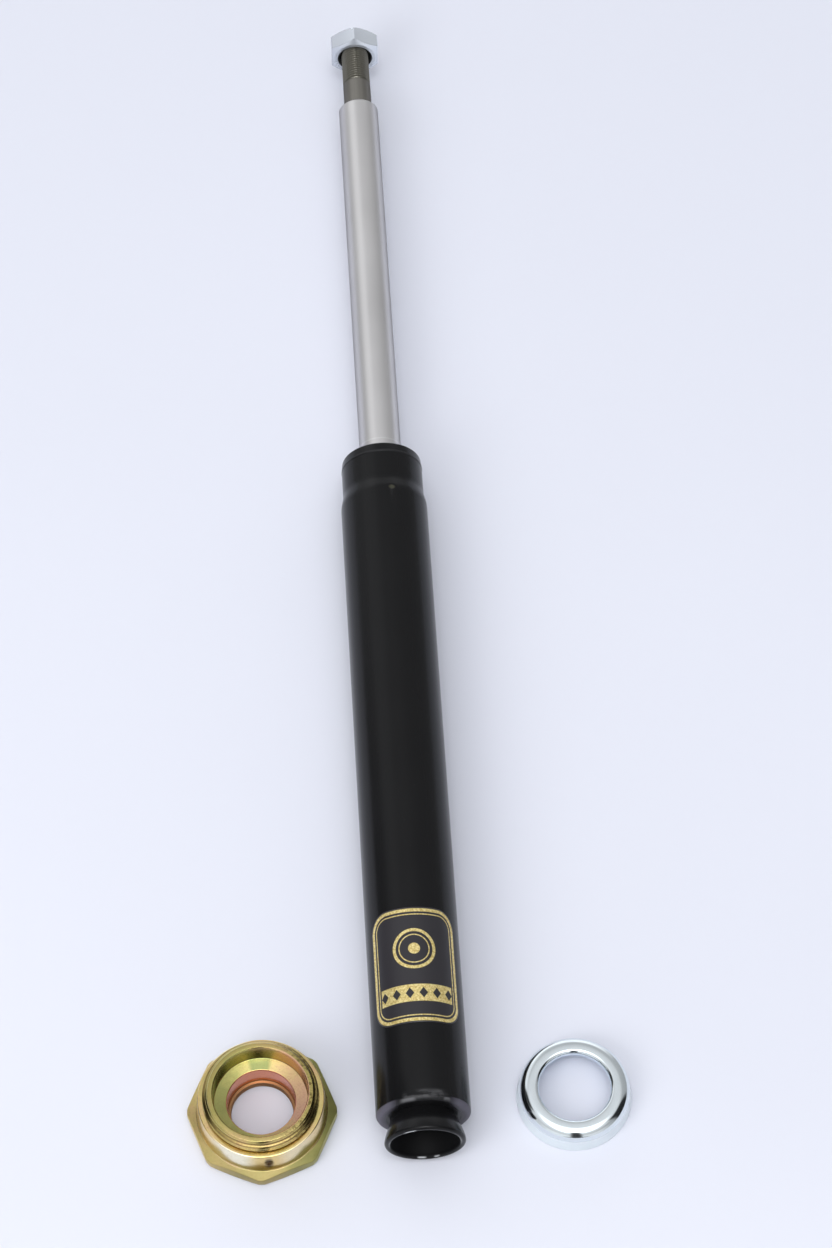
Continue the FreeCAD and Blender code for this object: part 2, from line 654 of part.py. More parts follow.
def foot_valve_discs():
    """Discs that bend away from the inner passages when the rod is pushed in fast."""
    along = valve_floor - disc_stack
    return disc_pile("foot_valve_discs", pin_hole_r, foot_rings.disc, disc_stack, along)


def check_plate(label, rings, along):
    """Flat ring over the outer passages, free to lift."""
    return turned(label, annulus(rings.plate_inner, rings.plate_outer, dim.plate_thickness), along=along)


def star_spring(label, hole_r, hub_r, rings, along):
    """Dished spring: a hub clamped on the boss, and legs that reach down to the check plate."""
    reach_r = rings.outer + dim.outer_passage_d / 4
    body = turned(label, [
        (reach_r, 0), (reach_r, dim.spring_thickness), (hub_r, spring_stack - dim.plate_thickness),
        (hole_r, spring_stack - dim.plate_thickness), (hole_r, dim.plate_lift), (hub_r, dim.plate_lift),
    ], along=along)
    past_edge = reach_r + dim.passage_land
    slot = [(hub_r + dim.passage_land, 0), (past_edge, 0), (past_edge, spring_stack),
            (hub_r + dim.passage_land, spring_stack)]
    side_slots(body, f"{label}_slots", slot, dim.spring_slot_width, dim.spring_legs)
    return body


def piston():
    """Piston with a band groove, two rings of passages and a boss for the star spring."""
    piston_r = bore_r - dim.piston_gap
    groove_r = piston_r - dim.band_depth
    boss_r = dim.piston_boss_d / 2
    groove_low = (dim.piston_height - dim.band_width) / 2 - dim.seat_gap
    groove_high = (dim.piston_height + dim.band_width) / 2 + dim.seat_gap
    boss_top = dim.piston_height + spring_rise
    body = turned("piston", [
        (spigot_hole_r, 0), (piston_r, 0), (piston_r, groove_low), (groove_r, groove_low),
        (groove_r, groove_high), (piston_r, groove_high), (piston_r, dim.piston_height),
        (boss_r, dim.piston_height), (boss_r, boss_top), (spigot_hole_r, boss_top),
    ], along=piston_under)
    ring_of_holes(body, "piston_inner_passages", dim.inner_passage_d, piston_rings.inner, dim.hole_count)
    ring_of_holes(body, "piston_outer_passages", dim.outer_passage_d, piston_rings.outer, dim.hole_count,
                  half_pitch)
    return body


def piston_band():
    """Low-friction band that carries the piston in its bore."""
    inner_r = bore_r - dim.piston_gap - dim.band_depth + dim.run_gap
    band = annulus(inner_r, bore_r - dim.run_gap, dim.band_width)
    return turned("piston_band", band, along=piston_under + (dim.piston_height - dim.band_width) / 2)


def washer(label, hole_r, outer_d, thickness, along):
    """Plain flat washer."""
    return turned(label, annulus(hole_r, outer_d / 2, thickness), along=along)


def rebound_discs():
    """Discs that bend away from the piston's inner passages when the rod is pulled out."""
    return disc_pile("rebound_discs", spigot_hole_r, piston_rings.disc, disc_stack, discs_under)


def hex_nut(label, flats, height, hole_r, bevel, sink, along):
    """Hexagon nut with bevelled corners and a countersink at each end of its hole."""
    body = new_body(label, along)
    corner_r = prism(body, f"{label}_prism", 6, flats, height)
    revolve(body, f"{label}_hole", [
        (0, 0), (hole_r + sink, 0), (hole_r, sink), (hole_r, height - sink),
        (hole_r + sink, height), (0, height),
    ], kind="Groove")
    bevel_corners(body, f"{label}_near_bevel", corner_r, bevel, 0, 1)
    bevel_corners(body, f"{label}_far_bevel", corner_r, bevel, height, -1)
    return body


def piston_rod():
    """Rod with a threaded spigot for the piston, a snap ring groove and a threaded stud."""
    groove_r = rod_r - dim.ring_groove_depth
    groove_low = ring_under - spigot_end - dim.seat_gap
    groove_high = seat_under - spigot_end
    rod_top = stud_shoulder - spigot_end
    shoulder = rod_shoulder - spigot_end
    stud_r = dim.stud_d / 2
    shank_top = rod_top + dim.shank_length
    end = rod_top + dim.stud_length
    return turned("piston_rod", [
        (0, 0), (spigot_r - dim.edge_chamfer, 0), (spigot_r, dim.edge_chamfer), (spigot_r, shoulder),
        (rod_r, shoulder), (rod_r, groove_low), (groove_r, groove_low), (groove_r, groove_high),
        (rod_r, groove_high), (rod_r, rod_top - dim.rod_chamfer), (rod_r - dim.rod_chamfer, rod_top),
        (stud_r, rod_top), (stud_r, shank_top), (thread_r, shank_top), (thread_r, end - dim.edge_chamfer),
        (thread_r - dim.edge_chamfer, end), (0, end),
    ], along=spigot_end)


def rebound_stop():
    """Moulded ring that meets the rod guide when the rod is right out."""
    outer_r = rod_hole_r + dim.stop_wall
    body = turned("rebound_stop", annulus(rod_hole_r, outer_r, dim.stop_height), along=stop_under)
    round_edges(body, "stop_round", [(outer_r, dim.stop_height, dim.stop_round)])
    return body


def stop_ring():
    """Open snap ring in the rod's groove, which carries the rebound stop and its washer."""
    inner_r = rod_r - dim.ring_groove_depth + dim.seat_gap
    section = annulus(inner_r, inner_r + dim.ring_wall, dim.ring_thickness)
    body = turned("stop_ring", section, along=ring_under)
    turn = body.Tip
    closed_angle = Size(360, "360") - dim.ring_open_angle
    turn.setExpression("Angle", closed_angle.text)
    doc.recompute()
    return body


def rod_guide():
    """Guide on top of the pressure tube: bush seat, O-ring groove and a recess for the seal's lip."""
    guide_r = neck_inner_r - dim.seat_gap * 2
    groove_r = guide_r - dim.o_ring_wire + dim.seat_gap
    ledge_r = rod_r + dim.guide_ledge_gap
    bush_r = rod_r + dim.bush_wall + dim.seat_gap
    recess_r = guide_r - dim.seal_recess_wall
    spigot = dim.guide_spigot_length
    ring_level = spigot + dim.o_ring_height
    groove_low = ring_level - dim.o_ring_wire / 2 - dim.seat_gap
    groove_high = ring_level + dim.o_ring_wire / 2 + dim.seat_gap
    bush_top = dim.guide_ledge + dim.bush_length
    top = spigot + dim.guide_flange_height
    return turned("rod_guide", [
        (ledge_r, 0), (bore_r - dim.seat_gap, 0), (bore_r - dim.seat_gap, spigot), (guide_r, spigot),
        (guide_r, groove_low), (groove_r, groove_low), (groove_r, groove_high), (guide_r, groove_high),
        (guide_r, top), (recess_r, top), (recess_r, bush_top), (bush_r, bush_top),
        (bush_r, dim.guide_ledge), (ledge_r, dim.guide_ledge),
    ], along=guide_under)


def guide_bush():
    """Plain bearing that the rod runs in."""
    wall = annulus(rod_hole_r, rod_r + dim.bush_wall, dim.bush_length)
    return turned("guide_bush", wall, along=guide_under + dim.guide_ledge)


def guide_o_ring():
    """O-ring between the rod guide and the neck of the outer tube."""
    centre_r = neck_inner_r - dim.seat_gap - dim.o_ring_wire / 2
    return loop("guide_o_ring", centre_r, dim.o_ring_wire, cylinder_head + dim.o_ring_height)


def rod_seal():
    """Rubber seal: a lower lip in the guide's recess and a wiper that shows above the rolled top."""
    body_r = neck_inner_r - dim.seat_gap * 2
    washer_r = neck_inner_r - inner_roll - dim.seat_gap
    lip_r = rod_hole_r + dim.seal_lip_wall
    wiper_r = rod_hole_r + dim.wiper_wall
    relief_r = rod_hole_r + dim.seal_relief
    seat = dim.seal_lip_length
    shoulder = seat + dim.seal_height + dim.seal_washer_thickness - inner_roll - dim.seat_gap * 4
    step = seat + dim.seal_height
    top = step + dim.seal_washer_thickness + dim.tube_wall + dim.wiper_proud
    edge = dim.seal_edge_length
    return turned("rod_seal", [
        (rod_hole_r, 0), (lip_r, 0), (lip_r, seat), (body_r, seat), (body_r, shoulder),
        (washer_r, shoulder), (washer_r, step), (wiper_r, step), (wiper_r, top), (rod_hole_r, top),
        (rod_hole_r, top - edge), (relief_r, top - edge - dim.seal_relief),
        (relief_r, edge + dim.seal_relief), (rod_hole_r, edge),
    ], along=guide_top - dim.seal_lip_length)


def seal_garter_spring():
    """Garter spring that presses the lower lip on the rod."""
    centre_r = rod_hole_r + dim.seal_lip_wall + dim.seat_gap + dim.garter_wire / 2
    return loop("seal_garter_spring", centre_r, dim.garter_wire, guide_top - dim.seal_lip_length / 2)


def seal_washer():
    """Steel washer between the seal and the rolled top."""
    inner_r = rod_hole_r + dim.wiper_wall + dim.seat_gap
    outer_r = neck_inner_r - inner_roll - dim.seat_gap
    section = annulus(inner_r, outer_r, dim.seal_washer_thickness)
    return turned("seal_washer", section, along=seal_washer_under)


def body_label():
    """Thin label with round corners, bent over the tube: a plan carried up to the tube's skin."""
    body = new_body("body_label", dim.label_start)
    inner_r = tube_r + dim.label_lift
    outer_r = inner_r + dim.label_thickness
    half = dim.label_width / 2
    length = dim.label_length
    pad = body.newObject("PartDesign::Pad", "label_plan")
    pad.Profile = outline(body, "label_outline", "XY_Plane", [
        (-half, 0), (half, 0), (half, length), (-half, length),
    ])
    pad.Length = float(outer_r)
    pad.setExpression("Length", outer_r.text)
    doc.recompute()
    corners = [f"Edge{i}" for i, edge in enumerate(pad.Shape.Edges, start=1)
               if abs(edge.tangentAt(edge.FirstParameter).z) > 0.99]
    fillet = body.newObject("PartDesign::Fillet", "label_corners")
    fillet.Base = (pad, corners)
    fillet.Radius = float(dim.label_round)
    fillet.setExpression("Radius", dim.label_round.text)
    doc.recompute()
    revolve(body, "label_underside", annulus(0, inner_r, length), kind="Groove")
    revolve(body, "label_face", annulus(outer_r, outer_r + half, length), kind="Groove")
    return body


def rod_nut():
    """Nut on the stud, as delivered."""
    return hex_nut("rod_nut", dim.rod_nut_flats, dim.rod_nut_height, thread_r + dim.run_gap,
                   dim.rod_nut_bevel, dim.rod_nut_sink, stud_shoulder + dim.rod_nut_place)


def gland_nut():
    """Gland nut that stands on its eight-sided head: plain body, short thread and stepped hole."""
    body = new_body("gland_nut", dim.gland_place_y, dim.gland_place_x, floor)
    turn_upright(body, dim.gland_turn)
    head = dim.gland_head_height
    shoulder = head + dim.gland_body_height
    top = shoulder + dim.gland_thread_length
    body_foot = dim.gland_body_foot_d / 2
    body_top = dim.gland_body_d / 2
    thread = dim.gland_thread_d / 2
    chamfer = dim.gland_thread_chamfer
    lip = dim.gland_lip_d / 2
    bore = dim.gland_bore_d / 2
    socket = dim.gland_socket_d / 2
    seat = top - dim.gland_socket_depth
    blank_r = dim.gland_blank_d / 2
    revolve(body, "gland_blank", annulus(0, blank_r, head), "XZ_Plane")
    bevel_corners(body, "gland_foot_bevel", blank_r, dim.gland_head_bevel / 2, 0, 1, "XZ_Plane")
    bevel_corners(body, "gland_head_bevel", blank_r, dim.gland_head_bevel, head, -1, "XZ_Plane")
    mill_flats(body, "gland_head", 8, dim.gland_flats, blank_r, head)
    revolve(body, "gland_body", [
        (0, head), (body_foot, head), (body_top, shoulder), (thread, shoulder), (thread, top - chamfer),
        (thread - chamfer, top), (0, top),
    ], "XZ_Plane")
    round_edges(body, "gland_shoulder_round", [(body_top, shoulder, dim.gland_body_round)], axis="Z")
    revolve(body, "gland_hole", [
        (0, 0), (lip, 0), (lip, dim.gland_lip_height), (bore, dim.gland_lip_height),
        (bore, seat - dim.gland_seat_fall), (socket, seat), (socket, top), (0, top),
    ], "XZ_Plane", "Groove")
    return body


def end_cap():
    """Pressed cap, mouth down on the floor, with a hole that has a turned-down lip."""
    mouth_r = dim.cap_od / 2
    top_r = dim.cap_top_d / 2
    hole_r = dim.cap_hole_d / 2
    sheet_t = dim.cap_sheet
    inside = dim.cap_height - sheet_t
    lip_end = dim.cap_height - dim.cap_lip
    body = turned("end_cap", [
        (mouth_r - sheet_t, 0), (mouth_r, 0), (top_r, dim.cap_height), (hole_r, dim.cap_height),
        (hole_r, lip_end), (hole_r + sheet_t, lip_end), (hole_r + sheet_t, inside),
        (top_r - sheet_t, inside),
    ], dim.cap_place_y, "XZ_Plane", dim.cap_place_x, floor)
    round_edges(body, "cap_round", [
        (top_r, dim.cap_height, dim.cap_round),
        (top_r - sheet_t, inside, dim.cap_round - sheet_t),
        (hole_r, dim.cap_height, dim.cap_lip_round),
    ], axis="Z")
    return body


SUB_PARTS = [
    outer_tube(), foot_collar(), base_cap(), pressure_tube(),
    foot_valve_body(), foot_valve_pin(), foot_valve_discs(),
    check_plate("foot_check_plate", foot_rings, valve_top),
    star_spring("foot_check_spring", pin_hole_r, dim.foot_boss_d / 2, foot_rings,
                valve_top + dim.plate_thickness),
    piston(), piston_band(),
    check_plate("piston_check_plate", piston_rings, piston_top),
    star_spring("piston_check_spring", spigot_hole_r, dim.piston_boss_d / 2, piston_rings,
                piston_top + dim.plate_thickness),
    washer("piston_stop_washer", spigot_hole_r, dim.stop_washer_d, dim.stop_washer_thickness,
           stop_washer_under),
    rebound_discs(),
    washer("rebound_washer", spigot_hole_r, dim.rebound_washer_d, dim.rebound_washer_thickness,
           rebound_washer_under),
    hex_nut("piston_nut", dim.piston_nut_flats, dim.piston_nut_height, spigot_hole_r,
            dim.piston_nut_bevel, dim.edge_chamfer, piston_nut_under),
    piston_rod(), rebound_stop(),
    washer("stop_seat", rod_hole_r, (rod_hole_r + dim.seat_wall) * 2, dim.seat_thickness, seat_under),
    stop_ring(), rod_guide(), guide_bush(), guide_o_ring(),
    rod_seal(), seal_garter_spring(), seal_washer(),
    body_label(), rod_nut(), gland_nut(), end_cap(),
]


def check_document():
    """Stop if any object failed to compute or any sub-part's shape is empty or broken."""
    doc.recompute()
    for thing in doc.Objects:
        if "Invalid" in thing.State or "Error" in thing.State:
            raise RuntimeError(f"{thing.Label} failed: {thing.State}")
    for piece in SUB_PARTS:
        if piece.Shape.isNull() or not piece.Shape.isValid():
            raise RuntimeError(f"{piece.Label} has no valid shape")


check_document()
os.makedirs("parts", exist_ok=True)
for piece in SUB_PARTS:
    piece.Shape.exportStep(f"parts/{piece.Label}.step")
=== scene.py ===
"""A strut insert shock absorber: the finish of its tube, foot, label, rod, nuts and end cap."""

import json
import math

import bpy
import numpy as np
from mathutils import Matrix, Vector


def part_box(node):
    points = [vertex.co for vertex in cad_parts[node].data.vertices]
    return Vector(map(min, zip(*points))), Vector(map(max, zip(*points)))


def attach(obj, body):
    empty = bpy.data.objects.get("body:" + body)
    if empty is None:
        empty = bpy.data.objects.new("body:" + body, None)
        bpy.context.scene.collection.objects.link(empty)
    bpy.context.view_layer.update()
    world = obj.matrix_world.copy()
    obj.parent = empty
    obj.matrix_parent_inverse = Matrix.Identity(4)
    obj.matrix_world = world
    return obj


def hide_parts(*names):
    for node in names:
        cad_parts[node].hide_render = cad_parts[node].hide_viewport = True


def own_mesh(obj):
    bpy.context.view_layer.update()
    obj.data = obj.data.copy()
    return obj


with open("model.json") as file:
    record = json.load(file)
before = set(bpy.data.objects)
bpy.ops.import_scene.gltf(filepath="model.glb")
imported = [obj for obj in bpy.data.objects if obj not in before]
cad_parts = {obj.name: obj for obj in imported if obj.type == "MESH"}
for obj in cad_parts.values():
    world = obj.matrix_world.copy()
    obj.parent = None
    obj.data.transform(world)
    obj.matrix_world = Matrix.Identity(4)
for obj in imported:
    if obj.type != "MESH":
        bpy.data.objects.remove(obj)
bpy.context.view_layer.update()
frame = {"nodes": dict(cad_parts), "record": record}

# Units and directions: shapes are worked out in millimetres and written in metres
MM = 0.001
FULL_TURN = 2 * math.pi
ACROSS, ALONG, UP = range(3)


def span(node, axis):
    """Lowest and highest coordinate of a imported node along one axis, in millimetres."""
    low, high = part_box(node)
    return low[axis] / MM, high[axis] / MM


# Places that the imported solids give
tube_foot, tube_top = span("outer_tube", ALONG)
tube_r = span("outer_tube", ACROSS)[1]
floor_level = span("outer_tube", UP)[0]
collar_top = span("foot_collar", ALONG)[1]
collar_r = span("foot_collar", ACROSS)[1]
rod_foot, rod_end = span("piston_rod", ALONG)
rod_r = span("piston_rod", ACROSS)[1]
shoulder_washer_top = span("piston_stop_washer", ALONG)[1]
ring_low, ring_high = span("stop_ring", ALONG)
nut_near, nut_far = span("rod_nut", ALONG)
seal_low, seal_high = span("rod_seal", ALONG)
label_low, label_high = span("body_label", ALONG)
label_half_plan = span("body_label", ACROSS)[1]
label_r = span("body_label", UP)[1]
gland_middle = tuple(sum(span("gland_nut", axis)) / 2 for axis in (ACROSS, ALONG))
gland_top = span("gland_nut", UP)[1]
cap_left, cap_right = span("end_cap", ACROSS)
cap_middle = tuple(sum(span("end_cap", axis)) / 2 for axis in (ACROSS, ALONG))
cap_top = span("end_cap", UP)[1]

# Sizes that the boxes don't give: lengths in millimetres, angles in radians
TUBE_WALL = 1.8
NECK_R = 19.25
NECK_START = 330.3
SHOULDER_START = 324.3
SHOULDER_ROUND = 16.0
DENT_LEVEL = 323.3
DENT_ANGLE = math.radians(79.5)
ROLL_START = 345.2
ROLL_R = 18.9
LIP_R = 13.0
COLLAR_NECK_R = 14.0
COLLAR_WALL = 2.6
FLARE_LOW = 1.6
FLARE_HIGH = 13.0
SHANK_START = 571.5
THREAD_START = 585.8
ROD_CHAMFER = 2.7
SHANK_R = 7.0
THREAD_R = 6.95
THREAD_PITCH = 1.5
SPIGOT_R = 5.0
SPIGOT_PITCH = 1.25
RING_GROOVE = 0.9
NUT_FLATS = 24.0
NUT_HOLE_R = 6.3
NUT_SINK = 2.6
GLAND_FLATS = 61.0
GLAND_BLANK_R = 32.5
GLAND_HEAD = 7.2
GLAND_BODY_FOOT_R = 28.3
GLAND_BODY_R = 27.4
GLAND_SHOULDER = 19.2
GLAND_THREAD_R = 25.0
GLAND_CHAMFER = 2.3
GLAND_SOCKET_R = 20.5
GLAND_SEAT = 15.4
GLAND_SEAT_FALL = 0.3
GLAND_BORE_R = 14.8
GLAND_LIP_R = 13.5
GLAND_LIP = 4.2
GLAND_TURN = math.radians(-2.5)
PUNCH_ANGLE = math.radians(275.0)
PUNCH_RISE = 13.5
CAP_SHEET = 1.8
CAP_TOP_R = 23.5
CAP_HOLE_R = 15.6
CAP_LIP = 3.2
LABEL_ROUND = 9.5
LABEL_HALF = label_r * math.asin(label_half_plan / label_r)
SHARP_EDGE = math.radians(40)


# Shapes


def unit(vectors):
    """Vectors of length one, with a zero vector left as it is."""
    length = np.linalg.norm(vectors, axis=-1, keepdims=True)
    return vectors / np.where(length > 0, length, 1)


def arc_offsets(before, after, radius, steps):
    """Offsets from corners to the arcs that round them, as an array of corners by steps by two.

    before and after are unit directions along a corner's two sides. The arc's centre lies on their
    bisector at radius / sin(half angle), and its points turn evenly between the two tangent points.
    """
    half = np.arccos(np.clip(np.sum(before * after, -1), -1, 1)) / 2
    reach = (radius / np.tan(half))[..., None]
    centre = unit(before + after) * (radius / np.sin(half))[..., None]
    sweep = np.maximum(math.pi - 2 * half, 1e-6)[..., None, None]
    share = np.linspace(0, 1, steps)[:, None]
    start = (before * reach - centre)[..., None, :]
    end = (after * reach - centre)[..., None, :]
    turned = (np.sin((1 - share) * sweep) * start + np.sin(share * sweep) * end) / np.sin(sweep)
    return centre[..., None, :] + turned


def rounded(corners, steps=7):
    """A closed profile through (radius, along, rounding) corners.

    Each rounding is an arc that touches its corner's two sides.
    """
    table = np.array(corners, float)
    place = table[:, :2]
    before = unit(np.roll(place, 1, axis=0) - place)
    after = unit(np.roll(place, -1, axis=0) - place)
    profile = (place[:, None] + arc_offsets(before, after, table[:, 2], steps)).reshape(-1, 2)
    moved = np.linalg.norm(profile - np.roll(profile, 1, axis=0), axis=1) > 1e-5
    return profile[moved]


def divided(profile, longest, low=-math.inf, high=math.inf):
    """The profile with even points added between two levels, so that no run there is too long.

    A run of so many parts gives its start plus 0, 1, 2 and so on times its length over the parts.
    """
    runs = np.roll(profile, -1, axis=0) - profile
    levels = np.sort(np.stack([profile[:, 1], np.roll(profile[:, 1], -1)]), axis=0)
    inside = (levels[0] >= low) & (levels[1] <= high)
    parts = np.where(inside, np.ceil(np.linalg.norm(runs, axis=1) / longest), 1).astype(int)
    number = np.arange(parts.sum()) - np.repeat(np.cumsum(parts) - parts, parts)
    along_run = np.repeat(runs, parts, axis=0) * number[:, None] / np.repeat(parts, parts)[:, None]
    return np.repeat(profile, parts, axis=0) + along_run


def even_angles(count):
    """Angles evenly round one turn."""
    return np.arange(count) * FULL_TURN / count


def close_angles(count, middle, reach, extra):
    """Even angles with extra ones close about a middle angle, for a small mark there."""
    close = middle + np.linspace(-reach, reach, extra)
    even = even_angles(count)
    away = np.abs((even - middle + math.pi) % FULL_TURN - math.pi) > reach * 1.05
    return np.sort(np.concatenate([even[away], close]) % FULL_TURN)


def about_insert(radius, along, angles):
    """Points round the insert's axis: across is radius times cosine, up is radius times sine."""
    radius, along, angles = np.broadcast_arrays(radius, along, angles)
    return np.stack([radius * np.cos(angles), along, radius * np.sin(angles)], -1)


def about_upright(radius, height, angles, centre):
    """Points round an upright axis: radius times cosine and sine from its centre, at the height."""
    radius, height, angles = np.broadcast_arrays(radius, height, angles)
    across = centre[0] + radius * np.cos(angles)
    along = centre[1] + radius * np.sin(angles)
    return np.stack([across, along, height], -1)


def thread_groove(along, angles, pitch, depth, hand):
    """Depth of a thread's groove at a level and an angle.

    It is a triangle wave of along / pitch + hand x angle / turn, with its crests and roots cut flat.
    """
    flat = 0.14
    phase = (along / pitch + hand * angles / FULL_TURN) % 1.0
    wave = np.abs(2 * phase - 1)
    return depth * np.clip((wave - flat) / (1 - 2 * flat), 0, 1)


def polygon_r(angles, sides, flats, rounding, first_corner):
    """Polar radius of a regular polygon whose corners are arcs.

    On a side it is half the flats over the cosine of the angle from the side's middle. Within a corner
    it is the far crossing of the corner's own circle.
    """
    half_pitch = math.pi / sides
    off_corner = np.abs((angles - first_corner + half_pitch) % (2 * half_pitch) - half_pitch)
    centre = (flats / 2 - rounding) / math.cos(half_pitch)
    arc_end = math.atan2(rounding * math.sin(half_pitch), centre + rounding * math.cos(half_pitch))
    side = flats / 2 / np.cos(half_pitch - off_corner)
    under_root = rounding ** 2 - (centre * np.sin(off_corner)) ** 2
    arc = centre * np.cos(off_corner) + np.sqrt(np.maximum(under_root, 0))
    return np.where(off_corner < arc_end, arc, side)


def polygon_angles(sides, per_side, first_corner):
    """Angles that crowd towards the corners: even steps bent by a sine."""
    closeness = 0.75
    share = np.arange(per_side) / per_side
    bent = share - closeness * np.sin(FULL_TURN * share) / FULL_TURN
    return (first_corner + FULL_TURN / sides * (np.arange(sides)[:, None] + bent)).ravel()


class Rows:
    """The rows of a grid surface, each a radius and a level at every angle."""

    def __init__(self, angles):
        self.angles = angles
        self.radii = []
        self.levels = []

    def add(self, radius, level):
        """One row, or several rows of a column array."""
        shape = np.broadcast_shapes(np.shape(np.atleast_2d(radius)), np.shape(np.atleast_2d(level)),
                                    (1, len(self.angles)))
        self.radii.append(np.broadcast_to(radius, shape))
        self.levels.append(np.broadcast_to(level, shape))

    def corner(self, radius, level, before, after, rounding, steps=5):
        """The rows of a rounded edge: its arc's offsets are the same all round the edge."""
        sides = unit(np.array([before, after], float))
        offsets = arc_offsets(sides[0], sides[1], np.float64(rounding), steps)
        self.add(radius + offsets[:, :1], level + offsets[:, 1:])

    def stacked(self):
        """All radii and all levels, each an array of rows by angles."""
        return np.vstack(self.radii), np.vstack(self.levels)


def ring_faces(rows, columns, closed):
    """Quads between neighbouring rows and columns of a grid whose columns run round in a ring."""
    row = np.arange(rows if closed else rows - 1)[:, None]
    column = np.arange(columns)[None, :]
    beside = (column + 1) % columns
    here = row * columns
    above = (row + 1) % rows * columns
    corners = [here + column, here + beside, above + beside, above + column]
    return np.stack(np.broadcast_arrays(*corners), -1).reshape(-1, 4)


def outward(points, faces):
    """The faces turned so that the volume they enclose is positive."""
    a, b, c, d = (points[faces[:, i]] for i in range(4))
    volume = np.sum(np.cross(b - a, c - a) * a) + np.sum(np.cross(c - a, d - a) * a)
    return faces if volume > 0 else faces[:, ::-1]


def closed_ring(grid):
    """Points and faces of a grid that closes both ways, such as a turned wall."""
    points = grid.reshape(-1, 3)
    return points, outward(points, ring_faces(*grid.shape[:2], closed=True)).tolist()


def capped_bar(grid):
    """Points and faces of a grid of rings whose two ends close in a point."""
    rows, columns = grid.shape[:2]
    points = np.vstack([grid.reshape(-1, 3), grid[0].mean(0), grid[-1].mean(0)])
    faces = outward(points, ring_faces(rows, columns, closed=False))
    turned = faces[0, 1] != 1
    first = np.arange(columns)
    ends = []
    for pole, ring, flip in ((rows * columns, 0, turned), (rows * columns + 1, rows - 1, not turned)):
        low = ring * columns + first
        high = ring * columns + (first + 1) % columns
        edge = [low, high] if flip else [high, low]
        ends += np.stack([np.full(columns, pole), *edge], -1).tolist()
    return points, faces.tolist() + ends


def place_piece(name, mesh, body, node):
    """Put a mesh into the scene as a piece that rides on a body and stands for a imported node."""
    piece = bpy.data.objects.new(name, mesh)
    bpy.context.scene.collection.objects.link(piece)
    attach(piece, body)
    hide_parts(node)
    return piece


def make_piece(name, shape, body, node, slot):
    """Write a shape into the mesh of a new piece, which has the finish of its slot."""
    points, faces = shape
    mesh = bpy.data.meshes.new(name)
    mesh.from_pydata((np.asarray(points) * MM).tolist(), [], faces)
    mesh.shade_smooth()
    mesh.set_sharp_from_angle(angle=SHARP_EDGE)
    mesh.materials.append(finishes[slot])
    mesh.validate()
    return place_piece(name, mesh, body, node)


# Shader arithmetic


class Shade:
    """A shader socket that Python's arithmetic works on: each operation adds a Math node."""

    def __init__(self, socket):
        self.socket = socket

    @staticmethod
    def node(tree, kind, settings=None, sockets=None, output=0):
        """Add a node: its settings first, then the values or links of its sockets; gives one output."""
        made = tree.nodes.new(kind)
        for name, value in (settings or {}).items():
            if name == "stops":
                Shade.fill_ramp(made.color_ramp, value)
            else:
                setattr(made, name, value)
        for key, value in (sockets or {}).items():
            target = made.inputs[key]
            if isinstance(value, Shade):
                tree.links.new(value.socket, target)
            else:
                target.default_value = (*value, 1.0) if target.type == "RGBA" else value
        return Shade(made.outputs[output])

    @staticmethod
    def fill_ramp(ramp, stops):
        """Set a colour ramp's stops, given as (place, colour)."""
        while len(ramp.elements) < len(stops):
            ramp.elements.new(1.0)
        for element, (place, colour) in zip(ramp.elements, stops):
            element.position = place
            element.color = (*colour, 1.0)

    def math(self, operation, *others):
        """A Math node whose first socket is this one."""
        sockets = dict(enumerate((self, *others)))
        return Shade.node(self.socket.id_data, "ShaderNodeMath", {"operation": operation}, sockets)

    def __add__(self, other):
        return self.math("ADD", other)

    def __sub__(self, other):
        return self.math("SUBTRACT", other)

    def __rsub__(self, other):
        return self.math("MULTIPLY_ADD", -1.0, other)

    def __mul__(self, other):
        return self.math("MULTIPLY", other)

    def __truediv__(self, other):
        return self.math("DIVIDE", other)

    def __neg__(self):
        return self.math("MULTIPLY", -1.0)

    def __abs__(self):
        return self.math("ABSOLUTE")

    __radd__ = __add__
    __rmul__ = __mul__

    def root(self):
        """The square root."""
        return self.math("SQRT")

    def folded(self, half):
        """A zigzag between 0 and the half length, for a pattern that repeats."""
        return self.math("PINGPONG", half)

    def at_least(self, other):
        """The larger of the two."""
        return self.math("MAXIMUM", other)

    def at_most(self, other):
        """The smaller of the two."""
        return self.math("MINIMUM", other)

    def step(self, low, high):
        """0 below low and 1 above high, with a smooth rise between."""
        sockets = {"Value": self, "From Min": low, "From Max": high}
        settings = {"interpolation_type": "SMOOTHSTEP"}
        return Shade.node(self.socket.id_data, "ShaderNodeMapRange", settings, sockets)

    def between(self, low, high, soft):
        """1 between two levels, with soft edges."""
        return self.step(low - soft, low + soft) * (1.0 - self.step(high - soft, high + soft))


def tone(red, green, blue):
    """A colour given by its picture values of 0 to 255, as the shader's linear values."""
    shares = np.array([red, green, blue]) / 255
    return tuple(np.where(shares <= 0.04045, shares / 12.92, ((shares + 0.055) / 1.055) ** 2.4))


def new_finish(name, **constants):
    """A material with a Principled shader whose even values are set on its own sockets."""
    finish = bpy.data.materials.new(name)
    finish.use_nodes = True
    tree = finish.node_tree
    shader = tree.nodes["Principled BSDF"]
    for key, value in constants.items():
        shader.inputs[key.replace("_", " ")].default_value = value
    return finish, tree, shader


def vary(tree, shader, **sockets):
    """Feed the shader's sockets with what changes over the surface."""
    for key, value in sockets.items():
        tree.links.new(value.socket, shader.inputs[key.replace("_", " ")])


